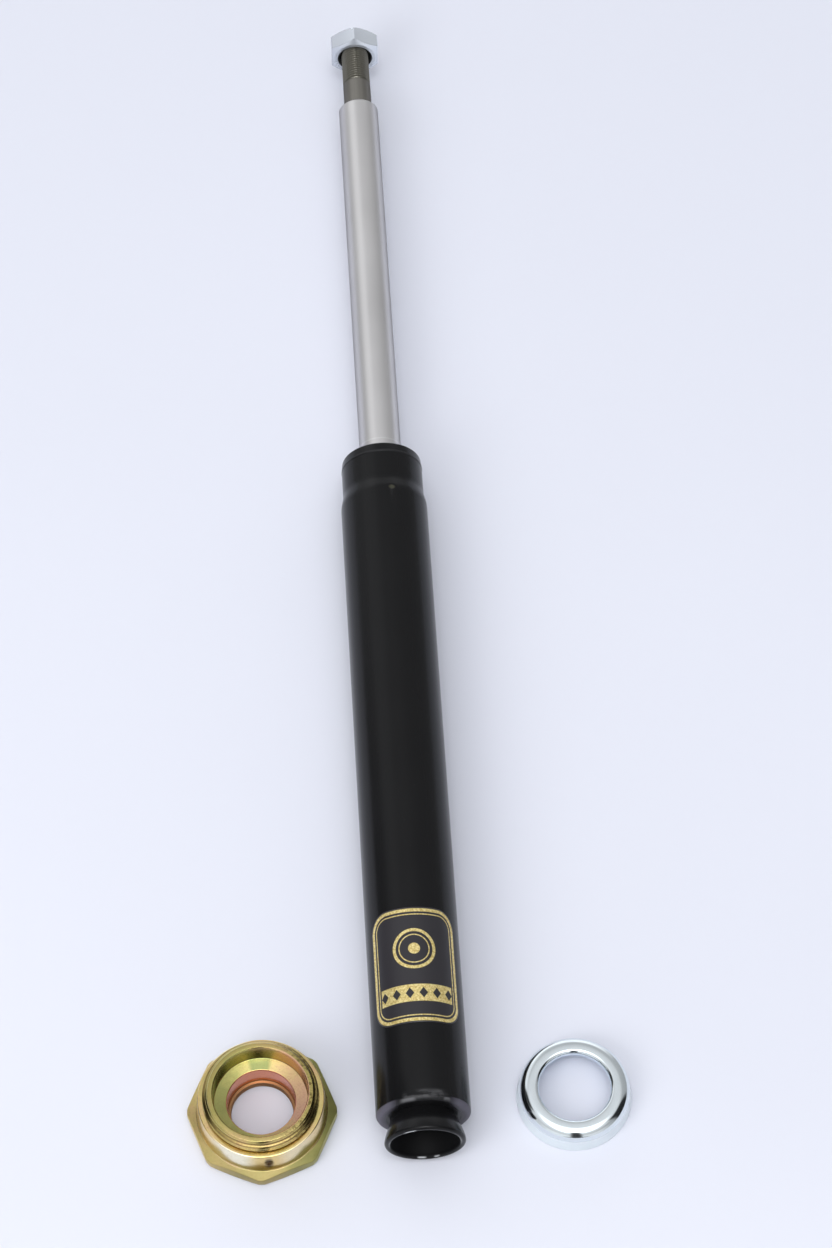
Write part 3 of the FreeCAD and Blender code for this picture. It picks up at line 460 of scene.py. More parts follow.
def place_of(tree, stretch=(1.0, 1.0, 1.0)):
    """A point's place on the object in millimetres, stretched along each axis."""
    place = Shade.node(tree, "ShaderNodeTexCoord", output="Object")
    scale = tuple(share / MM for share in stretch)
    return Shade.node(tree, "ShaderNodeMapping", None, {"Vector": place, "Scale": scale})


def axes_of(tree, place):
    """The three coordinates of a place."""
    split = Shade.node(tree, "ShaderNodeSeparateXYZ", None, {"Vector": place})
    return [Shade(output) for output in split.socket.node.outputs]


def grain(tree, place, size, detail=2.0, roughness=0.5):
    """Noise from 0 to 1 whose patches are about as large as given, in millimetres."""
    sockets = {"Vector": place, "Scale": 1 / size, "Detail": detail, "Roughness": roughness}
    return Shade.node(tree, "ShaderNodeTexNoise", None, sockets)


def blend(tree, share, first, second):
    """A colour that goes from the first to the second."""
    sockets = {0: share, 6: first, 7: second}
    return Shade.node(tree, "ShaderNodeMix", {"data_type": "RGBA"}, sockets, output=2)


def layered(tree, colour, *layers):
    """A colour under layers, each given as its share and its own colour."""
    for share, over in layers:
        colour = blend(tree, share, colour, over)
    return colour


def relief(tree, height, depth):
    """Normals of a fine relief of the given depth in millimetres."""
    sockets = {"Height": height, "Distance": depth * MM, "Strength": 1.0}
    return Shade.node(tree, "ShaderNodeBump", None, sockets)


# Finishes


def black_paint():
    """Sprayed semi-gloss black: orange peel, a little pale dust and a painted highlight line under the
    rolled top.

    The tube's lower corner carries painted reflections in streaks and runs, its end has dust and a
    painted reflection at its sides, and the foot's rim has some wear with painted highlights and
    glints. The foot's hollow, all that lies inside the middle of the flared wall, is painted darker as
    shade. The paler spot in the shoulder's dent is partly a chip and partly a painted glint; it is an
    ellipse: its squared distance is cut at a small value.
    """
    finish, tree, shader = new_finish("black_paint", Specular_IOR_Level=0.19)
    place = place_of(tree)
    across, along, up = axes_of(tree, place)
    away = (across * across + up * up).root()
    patches = grain(tree, place, 24.0, 3.0)
    peel = grain(tree, place, 1.1, 1.0)
    dust = grain(tree, place, 0.7, 4.0, 0.7).step(0.69, 0.76)
    long_grain = grain(tree, place_of(tree, (0.4, 1.0, 0.4)), 4.0, 3.0)
    # The tube's lower corner and end
    # Painted reflections: pale streaks and runs on the tube's rounded lower corner, where bright
    # surroundings would show
    painted_sheen_streaks = long_grain.step(0.36, 0.7) * along.between(tube_foot + 1.4, tube_foot + 4.2, 1.4)
    painted_sheen_streaks = painted_sheen_streaks * (1.0 - abs(across - 0.8).step(7.0, 10.5))
    painted_corner_sheen = along.between(tube_foot + 0.5, tube_foot + 1.7, 0.4) * up.step(8.0, 13.0)
    corner_runs = across.between(-9.5, -3.5, 1.5) + across.between(8.6, 11.2, 0.8)
    painted_corner_sheen = painted_corner_sheen * corner_runs * long_grain.step(0.32, 0.6)
    # Dust and a painted reflection: lilac-grey at the two sides of the tube's end, the middle left dark
    end_dust_and_sheen = along.between(tube_foot - 0.4, tube_foot + 2.2, 0.4) * abs(across).step(10.0, 16.0)
    end_dust_and_sheen = end_dust_and_sheen * away.step(COLLAR_NECK_R + 1.0, COLLAR_NECK_R + 5.0)
    # The foot's rim and hollow
    # Some wear and painted highlights: a light line along the rim's upper inner edge, and painted
    # glints on its top and on its lower lip
    inner_rim_wear_and_sheen = away.between(collar_r - 2.5, collar_r - 1.9, 0.3) * up.step(-4.0, 6.0)
    top_rim_glint = away.between(collar_r - 2.2, collar_r - 0.9, 0.3) * up.step(7.0, 11.0)
    top_rim_glint = top_rim_glint * (1.0 - abs(across + 6.5).step(0.8, 3.4))
    low_rim_glints = away.between(collar_r - 2.45, collar_r - 1.95, 0.15) * (1.0 - up.step(-8.0, -4.0))
    left_glint = 1.0 - abs(across + 1.5).step(0.8, 2.4)
    right_glint = 1.0 - abs(across - 5.0).step(0.4, 1.6)
    low_rim_glints = low_rim_glints * (left_glint + right_glint * 0.7)
    rim = 1.0 - along.step(0.5, 1.3)
    rim_wear_and_glints = rim * (top_rim_glint + inner_rim_wear_and_sheen * (0.5 + patches * 0.6) + low_rim_glints)
    flare_slope = (collar_r - COLLAR_NECK_R) / (FLARE_HIGH - FLARE_LOW)
    wall_middle = collar_r - COLLAR_WALL / 2 - (along - FLARE_LOW).at_least(0.0) * flare_slope
    # Painted shade: the hollow inside the middle of the flared wall is painted near black, and made
    # rougher
    hollow = 1.0 - (away - wall_middle).step(-1.15, -0.7)
    hollow = hollow * (1.0 - along.step(FLARE_HIGH - 0.5, FLARE_HIGH))
    # The shoulder and the rolled top
    # A paler spot in the shoulder's dent: partly a paint chip, partly a painted glint
    beside_chip = across - tube_r * math.cos(DENT_ANGLE)
    past_chip = along - (DENT_LEVEL + 0.3)
    chip = 1.0 - (beside_chip * beside_chip * 0.6 + past_chip * past_chip).step(0.2, 2.0)
    chip = chip * up.step(15.0, 17.0)
    # Painted highlight: a pale line round the tube where the rolled top begins
    roll_highlight_line = along.between(ROLL_START - 0.5, ROLL_START + 0.5, 0.4)
    colour = layered(
        tree, blend(tree, patches, tone(17, 17, 18), tone(21, 21, 22)),
        (painted_sheen_streaks.at_least(painted_corner_sheen) * 0.5, tone(128, 128, 130)),
        (end_dust_and_sheen * (0.3 + patches * 0.6), tone(108, 105, 118)),
        (hollow, tone(4, 4, 5)),
        (roll_highlight_line, tone(38, 38, 39)),
        (rim_wear_and_glints.at_most(1.0), tone(176, 178, 180)),
        (chip * 0.25, tone(112, 111, 90)),
        (dust * 0.25, tone(80, 80, 82)),
    )
    vary(tree, shader,
         Base_Color=colour,
         Roughness=0.18 + patches * 0.08 + (dust + painted_sheen_streaks + end_dust_and_sheen) * 0.25 + hollow * 0.4,
         Normal=relief(tree, peel, 0.008))
    return finish


def ground_rod():
    """Ground and chromed rod with fine rings, and a pale ring that the wiper left above the tube.

    Its stud is left grey, with a darker oiled thread.
    """
    finish, tree, shader = new_finish("ground_rod", Metallic=1.0, Specular_Tint=(0.35, 0.35, 0.36, 1.0))
    place = place_of(tree)
    along = axes_of(tree, place)[ALONG]
    rings = grain(tree, place_of(tree, (0.02, 1.0, 0.02)), 0.22, 2.0)
    streaks = grain(tree, place_of(tree, (1.0, 0.012, 1.0)), 1.6, 3.0)
    haze = grain(tree, place, 30.0, 3.0)
    stud = along.step(SHANK_START - 0.4, SHANK_START + 0.4)
    thread = along.step(THREAD_START - 0.8, THREAD_START + 0.8)
    wiped = along.between(tube_top + 8.3, tube_top + 8.9, 0.3)
    chrome = blend(tree, haze, tone(214, 212, 211), tone(226, 224, 223))
    chrome = blend(tree, wiped * 0.6, chrome, tone(242, 241, 241))
    steel = blend(tree, streaks, tone(126, 123, 117), tone(146, 143, 136))
    oiled = blend(tree, streaks, tone(110, 108, 99), tone(134, 131, 121))
    vary(tree, shader,
         Base_Color=blend(tree, stud, chrome, blend(tree, thread, steel, oiled)),
         Roughness=0.26 + haze * 0.08 + rings * 0.06 + stud * 0.08,
         Normal=relief(tree, rings * 0.7 + streaks * 0.3, 0.006))
    return finish


def bright_zinc():
    """Bright bluish zinc plate, on the cap and on the stud's nut, which their places along tell apart.

    The cap is polished where the press drew it, frosted low on its wall, and bluer and duller inside.
    The nut is half frosted, painted lighter towards its right, with painted shade in its countersink.
    """
    finish, tree, shader = new_finish("bright_zinc")
    place = place_of(tree)
    across, along, height = axes_of(tree, place)
    cloud = grain(tree, place, 7.0, 3.0)
    frost = grain(tree, place, 0.5, 2.0)
    on_cap = 1.0 - along.step(200.0, 220.0)
    off_across = across - cap_middle[ACROSS]
    off_along = along - cap_middle[ALONG]
    away = (off_across * off_across + off_along * off_along).root()
    wall = away.step(CAP_TOP_R - 0.6, CAP_TOP_R - 0.2)
    low_wall = (1.0 - height.step(cap_top - 5.6, cap_top - 4.2)) * wall
    under = (1.0 - height.step(cap_top - 2.6, cap_top - 1.9)) * (1.0 - wall)
    dull_inside = on_cap * under * away.step(CAP_HOLE_R + 0.6, CAP_HOLE_R + 1.2)
    frosted = (on_cap * low_wall).at_least((1.0 - on_cap) * 0.5)
    plate = blend(tree, cloud, tone(222, 231, 234), tone(236, 242, 245))
    plate = blend(tree, under, plate, tone(216, 231, 246))
    sink_r = NUT_HOLE_R + NUT_SINK
    # Painted shade: the countersink and the threaded hole are painted dark
    painted_sink_shade = 1.0 - (across * across + height * height).root().step(sink_r - 0.2, sink_r + 0.3)
    # Painted light: the nut is painted lighter towards its right
    nut_film_and_painted_light = blend(tree, across.step(-9.0, 9.0), tone(203, 208, 216), tone(226, 232, 239))
    nut_film_and_painted_light = blend(tree, painted_sink_shade, nut_film_and_painted_light, tone(60, 62, 62))
    vary(tree, shader,
         Base_Color=blend(tree, on_cap, nut_film_and_painted_light, plate),
         Metallic=1.0 - frosted * (0.6 - on_cap * 0.1) - dull_inside * 0.7,
         Roughness=0.09 + frosted * 0.3 + cloud * 0.05,
         Normal=relief(tree, frost * frosted, 0.012))
    return finish


def yellow_zinc():
    """Yellow passivated zinc plate, whose film turns from olive through gold to pink.

    The hue starts from clouds and flecks. The head leans from pink on its left to olive on its right,
    and the socket and its seat from green on their left to pink on their right, with painted
    reflections at the back: greener on the seat and browner on the wall. The bore is pink, and darker
    at its foot. The plain body carries painted highlights on both sides of its front, stronger on the
    left. The thread's grooves, the distance under its crests, hold brown film, and the punch mark is
    nearly black.
    """
    finish, tree, shader = new_finish("yellow_zinc", Metallic=1.0)
    place = place_of(tree)
    across, along, up = axes_of(tree, place)
    across = across - gland_middle[ACROSS]
    along = along - gland_middle[ALONG]
    height = up - floor_level
    away = (across * across + along * along).root()
    right = across / away
    back = along / away
    front = -back
    top = gland_top - floor_level
    cloud = grain(tree, place, 11.0, 2.0)
    fleck = grain(tree, place, 1.6, 3.0)
    speckle = grain(tree, place, 0.8, 2.0, 0.7).step(0.5, 0.72)
    turning = grain(tree, place_of(tree, (0.05, 0.05, 1.0)), 0.3, 2.0)
    # Where each part of the nut is
    head = away.step(GLAND_BODY_FOOT_R + 0.1, GLAND_BODY_FOOT_R + 0.6)
    plain = away.between(GLAND_BODY_R - 0.6, GLAND_BODY_FOOT_R, 0.3)
    inside = 1.0 - away.step(GLAND_SOCKET_R + 0.5, GLAND_SOCKET_R + 0.8)
    ring = (1.0 - inside) * (1.0 - away.step(GLAND_THREAD_R + 0.1, GLAND_THREAD_R + 0.4))
    threaded = (1.0 - inside) * height.between(GLAND_SHOULDER + 0.1, top - 0.3, 0.1)
    over_seat = height.step(GLAND_SEAT + 0.1, GLAND_SEAT + 0.5)
    bore = 1.0 - away.step(GLAND_BORE_R + 0.1, GLAND_BORE_R + 0.5)
    low_bore = bore * (1.0 - height.step(GLAND_LIP - 0.2, GLAND_LIP + 1.6))
    wall = inside * over_seat
    seat = inside * (1.0 - bore) * (1.0 - over_seat)
    # Painted reflections at the back of the socket: greener on the seat and browner on the wall
    behind = back.step(0.95, 0.985)
    # Brown film in the thread and the dark punch mark
    crest = (top - GLAND_CHAMFER + GLAND_THREAD_R - height).at_most(GLAND_THREAD_R)
    groove = (crest - away).step(0.15, 0.6) * threaded * (0.7 + right * 0.25)
    bands = height.between(top - 2.8, top - 1.8, 0.3)
    bands = bands + height.between(GLAND_SHOULDER + 0.1, GLAND_SHOULDER + 1.1, 0.3)
    bands = bands * threaded * (0.3 + fleck * 0.6)
    ring_flecks = ring * right.step(0.3, 0.8) * fleck.step(0.45, 0.6)
    off_mark = (across - GLAND_BODY_R * math.cos(PUNCH_ANGLE)) * 0.4
    off_rise = (height - PUNCH_RISE) * 0.19
    mark = 1.0 - (off_mark * off_mark + off_rise * off_rise + fleck * 0.9).step(0.5, 1.5)
    on_front = (1.0 - head) * (1.0 - back.step(0.0, 0.5))
    mark = mark * on_front * away.step(GLAND_THREAD_R + 0.2, GLAND_THREAD_R + 0.5)
    # The film's hue and its layers
    hue = 0.5 + (cloud - 0.5) * 0.7 + (fleck - 0.5) * 0.2
    hue = hue - head * (0.22 + right * 0.26 - front.step(0.9, 0.99) * 0.2)
    hue = hue + inside * (right * 0.42 - 0.06)
    film = Shade.node(tree, "ShaderNodeValToRGB", {"stops": [
        (0.0, tone(168, 167, 102)), (0.25, tone(196, 188, 116)), (0.5, tone(224, 200, 134)),
        (0.75, tone(230, 186, 146)), (1.0, tone(228, 170, 154)),
    ]}, {0: hue})
    # Painted highlights: pale bands on both sides of the plain body's front, the left one stronger
    painted_highlight_bands = right.between(-0.75, -0.2, 0.15) + right.between(0.3, 0.75, 0.15) * 0.5
    film = layered(
        tree, film,
        (plain * 0.9, blend(tree, painted_highlight_bands, tone(232, 204, 140), tone(255, 250, 228))),
        (ring * (0.65 - front.step(0.2, 0.9) * 0.5 - back.step(0.6, 1.0) * 0.3), tone(158, 152, 84)),
        (head * front.step(0.5, 0.95) * 0.6, tone(122, 114, 78)),
        (bore * 0.85, tone(224, 136, 112)),
        (low_bore * 0.8, tone(120, 104, 66)),
        (seat * 0.3, tone(150, 146, 90)),
        (seat * behind * 0.7, tone(110, 134, 82)),
        (wall * behind * 0.25, tone(126, 92, 46)),
        (groove.at_least(bands), tone(112, 80, 40)),
        (ring_flecks * 0.6, tone(84, 62, 30)),
        (speckle * (0.2 + ring * right.step(0.0, 0.7) * 0.4), tone(124, 98, 46)),
        ((mark * (0.6 + fleck * 0.7)).at_most(1.0), tone(58, 34, 20)),
    )
    vary(tree, shader,
         Base_Color=film,
         Roughness=0.12 + fleck * 0.1 + turning * 0.05 + head * 0.26 + low_bore * 0.2,
         Normal=relief(tree, turning * 0.6 + fleck * 0.4, 0.012))
    return finish


def plain_finish(name, dark, light, shine, patch, depth, metal=True):
    """One even substance, clouded between two colours, with a fine relief.

    It is a metal, or else rubber or nylon, whose moulded grain is finer.
    """
    constants = {"Metallic": 1.0} if metal else {"Specular_IOR_Level": 0.4}
    fineness, spread = (12, 0.14) if metal else (15, 0.12)
    finish, tree, shader = new_finish(name, **constants)
    place = place_of(tree)
    cloud = grain(tree, place, patch, 3.0)
    fine = grain(tree, place, patch / fineness, 2.0)
    vary(tree, shader,
         Base_Color=blend(tree, cloud, tone(*dark), tone(*light)),
         Roughness=shine + cloud * spread,
         Normal=relief(tree, fine, depth))
    return finish


def rounded_edge(across, along, half_width, half_length, rounding):
    """Distance to the edge of a round-cornered rectangle, less than nothing inside it."""
    out = (abs(across) - (half_width - rounding)).at_least(0.0)
    past = (abs(along) - (half_length - rounding)).at_least(0.0)
    return (out * out + past * past).root() - rounding


def label_film():
    """Black film printed in gold: a double border, two rings about a dot and a band of diamonds.

    Each is a distance from a line, cut to the line's width. The diamonds repeat because the distance
    across is folded.
    """
    finish, tree, shader = new_finish("label_film", Specular_IOR_Level=0.45)
    flat = Shade.node(tree, "ShaderNodeUVMap", {"uv_map": "label_print"})
    across, along = axes_of(tree, flat)[:2]
    half_length = (label_high - label_low) / 2
    across = (across - 0.5) * (2 * LABEL_HALF)
    along = (along - 0.5) * (2 * half_length)
    soft = 0.12
    edge = rounded_edge(across, along, LABEL_HALF, half_length, LABEL_ROUND)
    border = edge.between(-2.2, -0.7, soft) + edge.between(-3.7, -3.2, soft)
    band_low, band_high, band_inset = -17.5, -9.5, -4.6
    diamond_half, half_pitch = 1.9, 3.0
    ring_middle, dot_r = 7.5, 2.6
    band = along.between(band_low, band_high, soft)
    band = band * (1.0 - edge.step(band_inset - soft, band_inset + soft))
    off_band = abs(along - (band_low + band_high) / 2)
    off_diamond = off_band * 0.75 + (half_pitch - abs(across).folded(half_pitch))
    diamond = 1.0 - off_diamond.step(diamond_half - soft, diamond_half + soft)
    above = along - ring_middle
    ring_away = (across * across + above * above).root()
    rings = ring_away.between(8.2, 9.6, soft) + ring_away.between(6.4, 6.9, soft)
    dot = 1.0 - ring_away.step(dot_r - soft, dot_r + soft)
    gold = (border + band * (1.0 - diamond) + rings + dot).at_most(1.0)
    cloud = grain(tree, place_of(tree), 0.9, 3.0, 0.6)
    foil = blend(tree, cloud.step(0.25, 0.75), tone(190, 162, 84), tone(246, 230, 166))
    vary(tree, shader,
         Base_Color=blend(tree, gold, tone(40, 38, 42), foil),
         Metallic=gold * 0.55,
         Roughness=0.3 + gold * 0.08 + cloud * 0.06)
    return finish


# Plain substances: two colours, roughness, patches' size, relief's depth, and False if not a metal
PLAIN_FINISHES = {
    "bare_steel": ((168, 168, 166), (198, 198, 195), 0.28, 8.0, 0.006),
    "sintered_iron": ((96, 96, 98), (126, 126, 127), 0.5, 2.0, 0.03),
    "spring_steel": ((112, 118, 138), (158, 160, 168), 0.24, 5.0, 0.004),
    "bronze": ((168, 132, 84), (196, 158, 108), 0.3, 4.0, 0.008),
    "black_nut": ((58, 58, 60), (82, 82, 84), 0.36, 4.0, 0.01),
    "black_rubber": ((20, 20, 21), (32, 32, 33), 0.5, 6.0, 0.02, False),
    "white_nylon": ((216, 212, 200), (232, 229, 219), 0.4, 8.0, 0.01, False),
}

# Every finish by the name of its slot
finishes = {name: plain_finish(name, *look) for name, look in PLAIN_FINISHES.items()}
for make_finish in (black_paint, ground_rod, bright_zinc, yellow_zinc, label_film):
    finishes[make_finish.__name__] = make_finish()

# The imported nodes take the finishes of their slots
slot_of = {part["node"]: part["material_slot"] for part in frame["record"]["subparts"]}
for node_name, node_piece in frame["nodes"].items():
    for material_slot in node_piece.material_slots:
        material_slot.material = finishes[slot_of[node_name]]


# Pieces


def tube_shell():
    """The tube's wall turned about the axis, with a ridge at the rolled top and a dent in the shoulder.

    The ridge adds height x exp(-(level / width) squared) to the radius, and the dent takes away
    depth x exp(-(distance / width) squared), where distance is measured over the skin and counts less
    around it than along it.
    """
    dent_width, dent_depth, dent_stretch = 1.1, 0.5, 1.6
    ridge_width, ridge_height = 0.35, 0.16
    inner = -TUBE_WALL
    foot_hole = COLLAR_NECK_R + 0.05
    profile = rounded([
        (foot_hole, tube_foot, 0.4), (tube_r, tube_foot, 2.6), (tube_r, SHOULDER_START, SHOULDER_ROUND),
        (NECK_R, NECK_START, SHOULDER_ROUND), (NECK_R, ROLL_START, 0.8), (ROLL_R, tube_top, 1.1),
        (LIP_R, tube_top, 0.7), (LIP_R, tube_top + inner, 0.6), (NECK_R + inner, tube_top + inner, 2.2),
        (NECK_R + inner, NECK_START, SHOULDER_ROUND), (tube_r + inner, SHOULDER_START, SHOULDER_ROUND),
        (tube_r + inner, tube_foot - inner, 0.8), (foot_hole, tube_foot - inner, 0.4),
    ], steps=9)
    profile = divided(profile, 0.3, SHOULDER_START - 8.0, ROLL_START + 1.5)
    profile = divided(profile, 12.0)
    radius, level = profile[:, :1], profile[:, 1:]
    angles = close_angles(168, DENT_ANGLE, 0.16, 21)[None, :]
    skin = radius > NECK_R + inner / 2
    around = (angles - DENT_ANGLE) * tube_r
    off_dent = around ** 2 / dent_stretch + (level - DENT_LEVEL) ** 2
    dent = dent_depth * np.exp(-off_dent / dent_width ** 2)
    ridge = ridge_height * np.exp(-((level - ROLL_START) / ridge_width) ** 2)
    return closed_ring(about_insert(radius + skin * (ridge - dent), level, angles))


def collar_bell():
    """The flared foot: a bell-shaped wall turned about the axis, with a round rim.

    The outside falls from the rim's radius to the neck's between two levels, by a straight line mixed
    with half a cosine, and the inside keeps the wall's thickness.
    """
    straightness = 0.6
    lip_r = COLLAR_WALL / 2
    levels = np.linspace(lip_r + 0.25, collar_top, 44)
    share = np.clip((levels - FLARE_LOW) / (FLARE_HIGH - FLARE_LOW), 0, 1)
    fall = straightness * share + (1 - straightness) * (1 - np.cos(math.pi * share)) / 2
    outside = np.stack([collar_r - (collar_r - COLLAR_NECK_R) * fall, levels], -1)
    inside = np.stack([outside[:, 0] - COLLAR_WALL, levels], -1)[::-1]
    turn = np.linspace(0, math.pi, 15)[:, None]
    rim = np.hstack([collar_r - lip_r - lip_r * np.cos(turn), lip_r - lip_r * np.sin(turn)])
    profile = np.vstack([rim, outside, inside])
    return closed_ring(about_insert(profile[:, :1], profile[:, 1:], even_angles(144)[None, :]))


def rod_bar():
    """The rod turned about the axis; its spigot and stud carry threads.

    Where a thread runs, the radius loses the thread's groove times a run-out that rises from 0 to 1,
    and the ends are cut by cones at 45 degrees.
    """
    groove_r = rod_r - RING_GROOVE
    tip = 1.0
    stud_depth, spigot_depth, spigot_length = 0.82, 0.68, 12.0
    profile = rounded([
        (0.0, rod_foot, 0), (SPIGOT_R, rod_foot, 0), (SPIGOT_R, shoulder_washer_top, 0),
        (rod_r, shoulder_washer_top, 0.4), (rod_r, ring_low, 0.1), (groove_r, ring_low, 0.2),
        (groove_r, ring_high, 0.2), (rod_r, ring_high, 0.1), (rod_r, SHANK_START - ROD_CHAMFER, 0.5),
        (rod_r - ROD_CHAMFER, SHANK_START, 0.3), (SHANK_R, SHANK_START, 0.12),
        (SHANK_R, rod_end, 0), (0.0, rod_end, 0),
    ])
    profile = divided(profile, 9.0)
    stud = np.arange(THREAD_START - 0.5, rod_end, THREAD_PITCH / 14)
    spigot = np.arange(rod_foot, rod_foot + spigot_length, SPIGOT_PITCH / 12)
    kept = profile[(profile[:, 0] > 0) & (profile[:, 1] > spigot[-1]) & (profile[:, 1] < stud[0])]
    levels = np.concatenate([spigot, kept[:, 1], stud, [rod_end]])
    spigot_radii = np.full(len(spigot), SPIGOT_R)
    stud_radii = np.full(len(stud) + 1, SHANK_R)
    radii = np.concatenate([spigot_radii, kept[:, 0], stud_radii])
    level, radius = levels[:, None], radii[:, None]
    angles = even_angles(96)[None, :]
    stud_runs = np.clip((level - THREAD_START) / THREAD_PITCH, 0, 1)
    spigot_runs = np.clip((spigot[-1] - level) / SPIGOT_PITCH, 0, 1)
    grooved = (radius - stud_runs * (SHANK_R - THREAD_R)
               - stud_runs * thread_groove(level, angles, THREAD_PITCH, stud_depth, 1)
               - spigot_runs * thread_groove(level, angles, SPIGOT_PITCH, spigot_depth, 1))
    near_cone = SPIGOT_R - tip + (level - rod_foot)
    far_cone = THREAD_R - tip + (rod_end - level)
    shaped = np.minimum.reduce(np.broadcast_arrays(grooved, near_cone, far_cone))
    return capped_bar(about_insert(shaped, level, angles))


def rod_nut_ring():
    """A hexagon nut: a polygon's radius all round, cut by a cone at each face, with a threaded hole."""
    sides, first_corner = 6, math.pi / 2
    angles = polygon_angles(sides, 24, first_corner)
    outside = polygon_r(angles, sides, NUT_FLATS, 0.7, first_corner)
    slope = math.tan(math.radians(30))
    bevel_r = NUT_FLATS / 2 - 1.4
    sink_r = NUT_HOLE_R + NUT_SINK
    drop = (outside - bevel_r) * slope
    thread_depth = 0.7
    rows = Rows(angles)
    inner = np.arange(nut_near + 0.4, nut_far - 0.4, THREAD_PITCH / 10)[:, None]
    opened = np.maximum(NUT_SINK - np.minimum(inner - nut_near, nut_far - inner), 0)
    cut = thread_groove(inner, angles[None, :], THREAD_PITCH, thread_depth, 1)
    rows.add(np.maximum(NUT_HOLE_R + cut, NUT_HOLE_R + opened), inner)
    rows.corner(sink_r, nut_far, (-1, -1), (1, 0), 0.2)
    rows.corner(bevel_r, nut_far, (-1, 0), (1, -slope), 0.5)
    rows.corner(outside, nut_far - drop, (-1, slope), (0, -1), 0.35)
    rows.corner(outside, nut_near + drop, (0, 1), (-1, -slope), 0.35)
    rows.corner(bevel_r, nut_near, (1, slope), (-1, 0), 0.5)
    rows.corner(sink_r, nut_near, (1, 0), (-1, 1), 0.2)
    radius, level = rows.stacked()
    return closed_ring(about_insert(radius, level, angles[None, :]))


def gland_nut_ring():
    """The gland nut: eight-sided head with turned corners, plain body, threaded ring, stepped hole.

    A punch mark takes depth x exp(-(distance / width) squared) from the body's radius. The thread's
    grooves fade over its chamfer. The lip at the foot of the hole has fine rings: half their depth x
    (1 - cosine), with one turn to each pitch.
    """
    sides = 8
    mark_width, mark_depth, mark_reach = 1.2, 0.7, 0.095
    even = polygon_angles(sides, 30, GLAND_TURN) % FULL_TURN
    close = PUNCH_ANGLE + np.linspace(-mark_reach, mark_reach, 19)
    clear = np.abs(even - PUNCH_ANGLE) > mark_reach + 0.005
    angles = np.sort(np.concatenate([even[clear], close]))
    outside = np.minimum(polygon_r(angles, sides, GLAND_FLATS, 0.6, GLAND_TURN), GLAND_BLANK_R)
    head = floor_level + GLAND_HEAD
    shoulder = floor_level + GLAND_SHOULDER
    seat = floor_level + GLAND_SEAT
    lip = floor_level + GLAND_LIP
    head_slope, foot_slope = 0.42, math.tan(math.radians(30))
    foot_r = GLAND_FLATS / 2 - 0.6
    foot_rise = np.maximum(outside - foot_r, 0.05) * foot_slope
    edge = head - (outside - GLAND_BODY_FOOT_R) * head_slope
    taper = (GLAND_BODY_FOOT_R - GLAND_BODY_R) / (shoulder - head)
    groove, ring_pitch, ring_depth = 0.85, 1.1, 0.25
    seat_slope = GLAND_SEAT_FALL / (GLAND_SOCKET_R - GLAND_BORE_R)
    rows = Rows(angles)
    rows.corner(GLAND_LIP_R + 0.5, floor_level, (-1, 1), (1, 0), 0.2)
    rows.corner(foot_r, floor_level, (-1, 0), (1, foot_slope), 0.5)
    rows.corner(outside, floor_level + foot_rise, (-1, -foot_slope), (0, 1), 0.4)
    rows.corner(outside, edge, (0, -1), (-1, head_slope), 0.5, 6)
    rows.corner(GLAND_BODY_FOOT_R, head, (1, -head_slope), (-taper, 1), 0.5, 6)
    body = np.linspace(head + 0.8, shoulder - 0.9, 34)[:, None]
    off_mark = ((angles - PUNCH_ANGLE) * GLAND_BODY_R) ** 2 + (body - floor_level - PUNCH_RISE) ** 2
    mark = mark_depth * np.exp(-off_mark / mark_width ** 2)
    rows.add(GLAND_BODY_FOOT_R - taper * (body - head) - mark, body)
    rows.corner(GLAND_BODY_R, shoulder, (taper, -1), (-1, 0), 0.6, 6)
    rows.add(GLAND_THREAD_R - groove, shoulder + 0.02)
    thread = np.arange(shoulder + 0.3, gland_top - 0.2, THREAD_PITCH / 14)[:, None]
    start = GLAND_THREAD_R - np.maximum(GLAND_CHAMFER - (gland_top - thread), 0)
    fade = np.clip((gland_top - thread) / GLAND_CHAMFER, 0, 1)
    run_in = np.clip((thread - shoulder) / THREAD_PITCH * 2, 0, 1)
    cut = thread_groove(thread, angles[None, :], THREAD_PITCH, groove, -1)
    rows.add(start - np.maximum(cut * fade, (1 - run_in) * groove), thread)
    rows.corner(GLAND_THREAD_R - GLAND_CHAMFER, gland_top, (1, -1), (-1, 0), 0.2)
    rows.corner(GLAND_SOCKET_R + 0.4, gland_top, (1, 0), (-1, -1), 0.15)
    rows.corner(GLAND_SOCKET_R, gland_top - 0.4, (1, 1), (0, -1), 0.15)
    rows.corner(GLAND_SOCKET_R, seat, (0, 1), (-1, -seat_slope), 0.4)
    rows.corner(GLAND_BORE_R, seat - GLAND_SEAT_FALL, (1, seat_slope), (0, -1), 0.5)
    rows.add(GLAND_BORE_R, np.linspace(seat - GLAND_SEAT_FALL - 1.0, lip + 0.5, 12)[:, None])
    rows.corner(GLAND_BORE_R, lip, (0, 1), (-1, 0), 0.2)
    rows.corner(GLAND_LIP_R, lip, (1, 0), (0, -1), 0.2)
    fine = np.linspace(lip - 0.3, floor_level + 0.7, 36)[:, None]
    rings = ring_depth * (1 - np.cos((lip - 0.3 - fine) * FULL_TURN / ring_pitch)) / 2
    rows.add(GLAND_LIP_R + rings, fine)
    radius, level = rows.stacked()
    return closed_ring(about_upright(radius, level, angles[None, :], gland_middle))


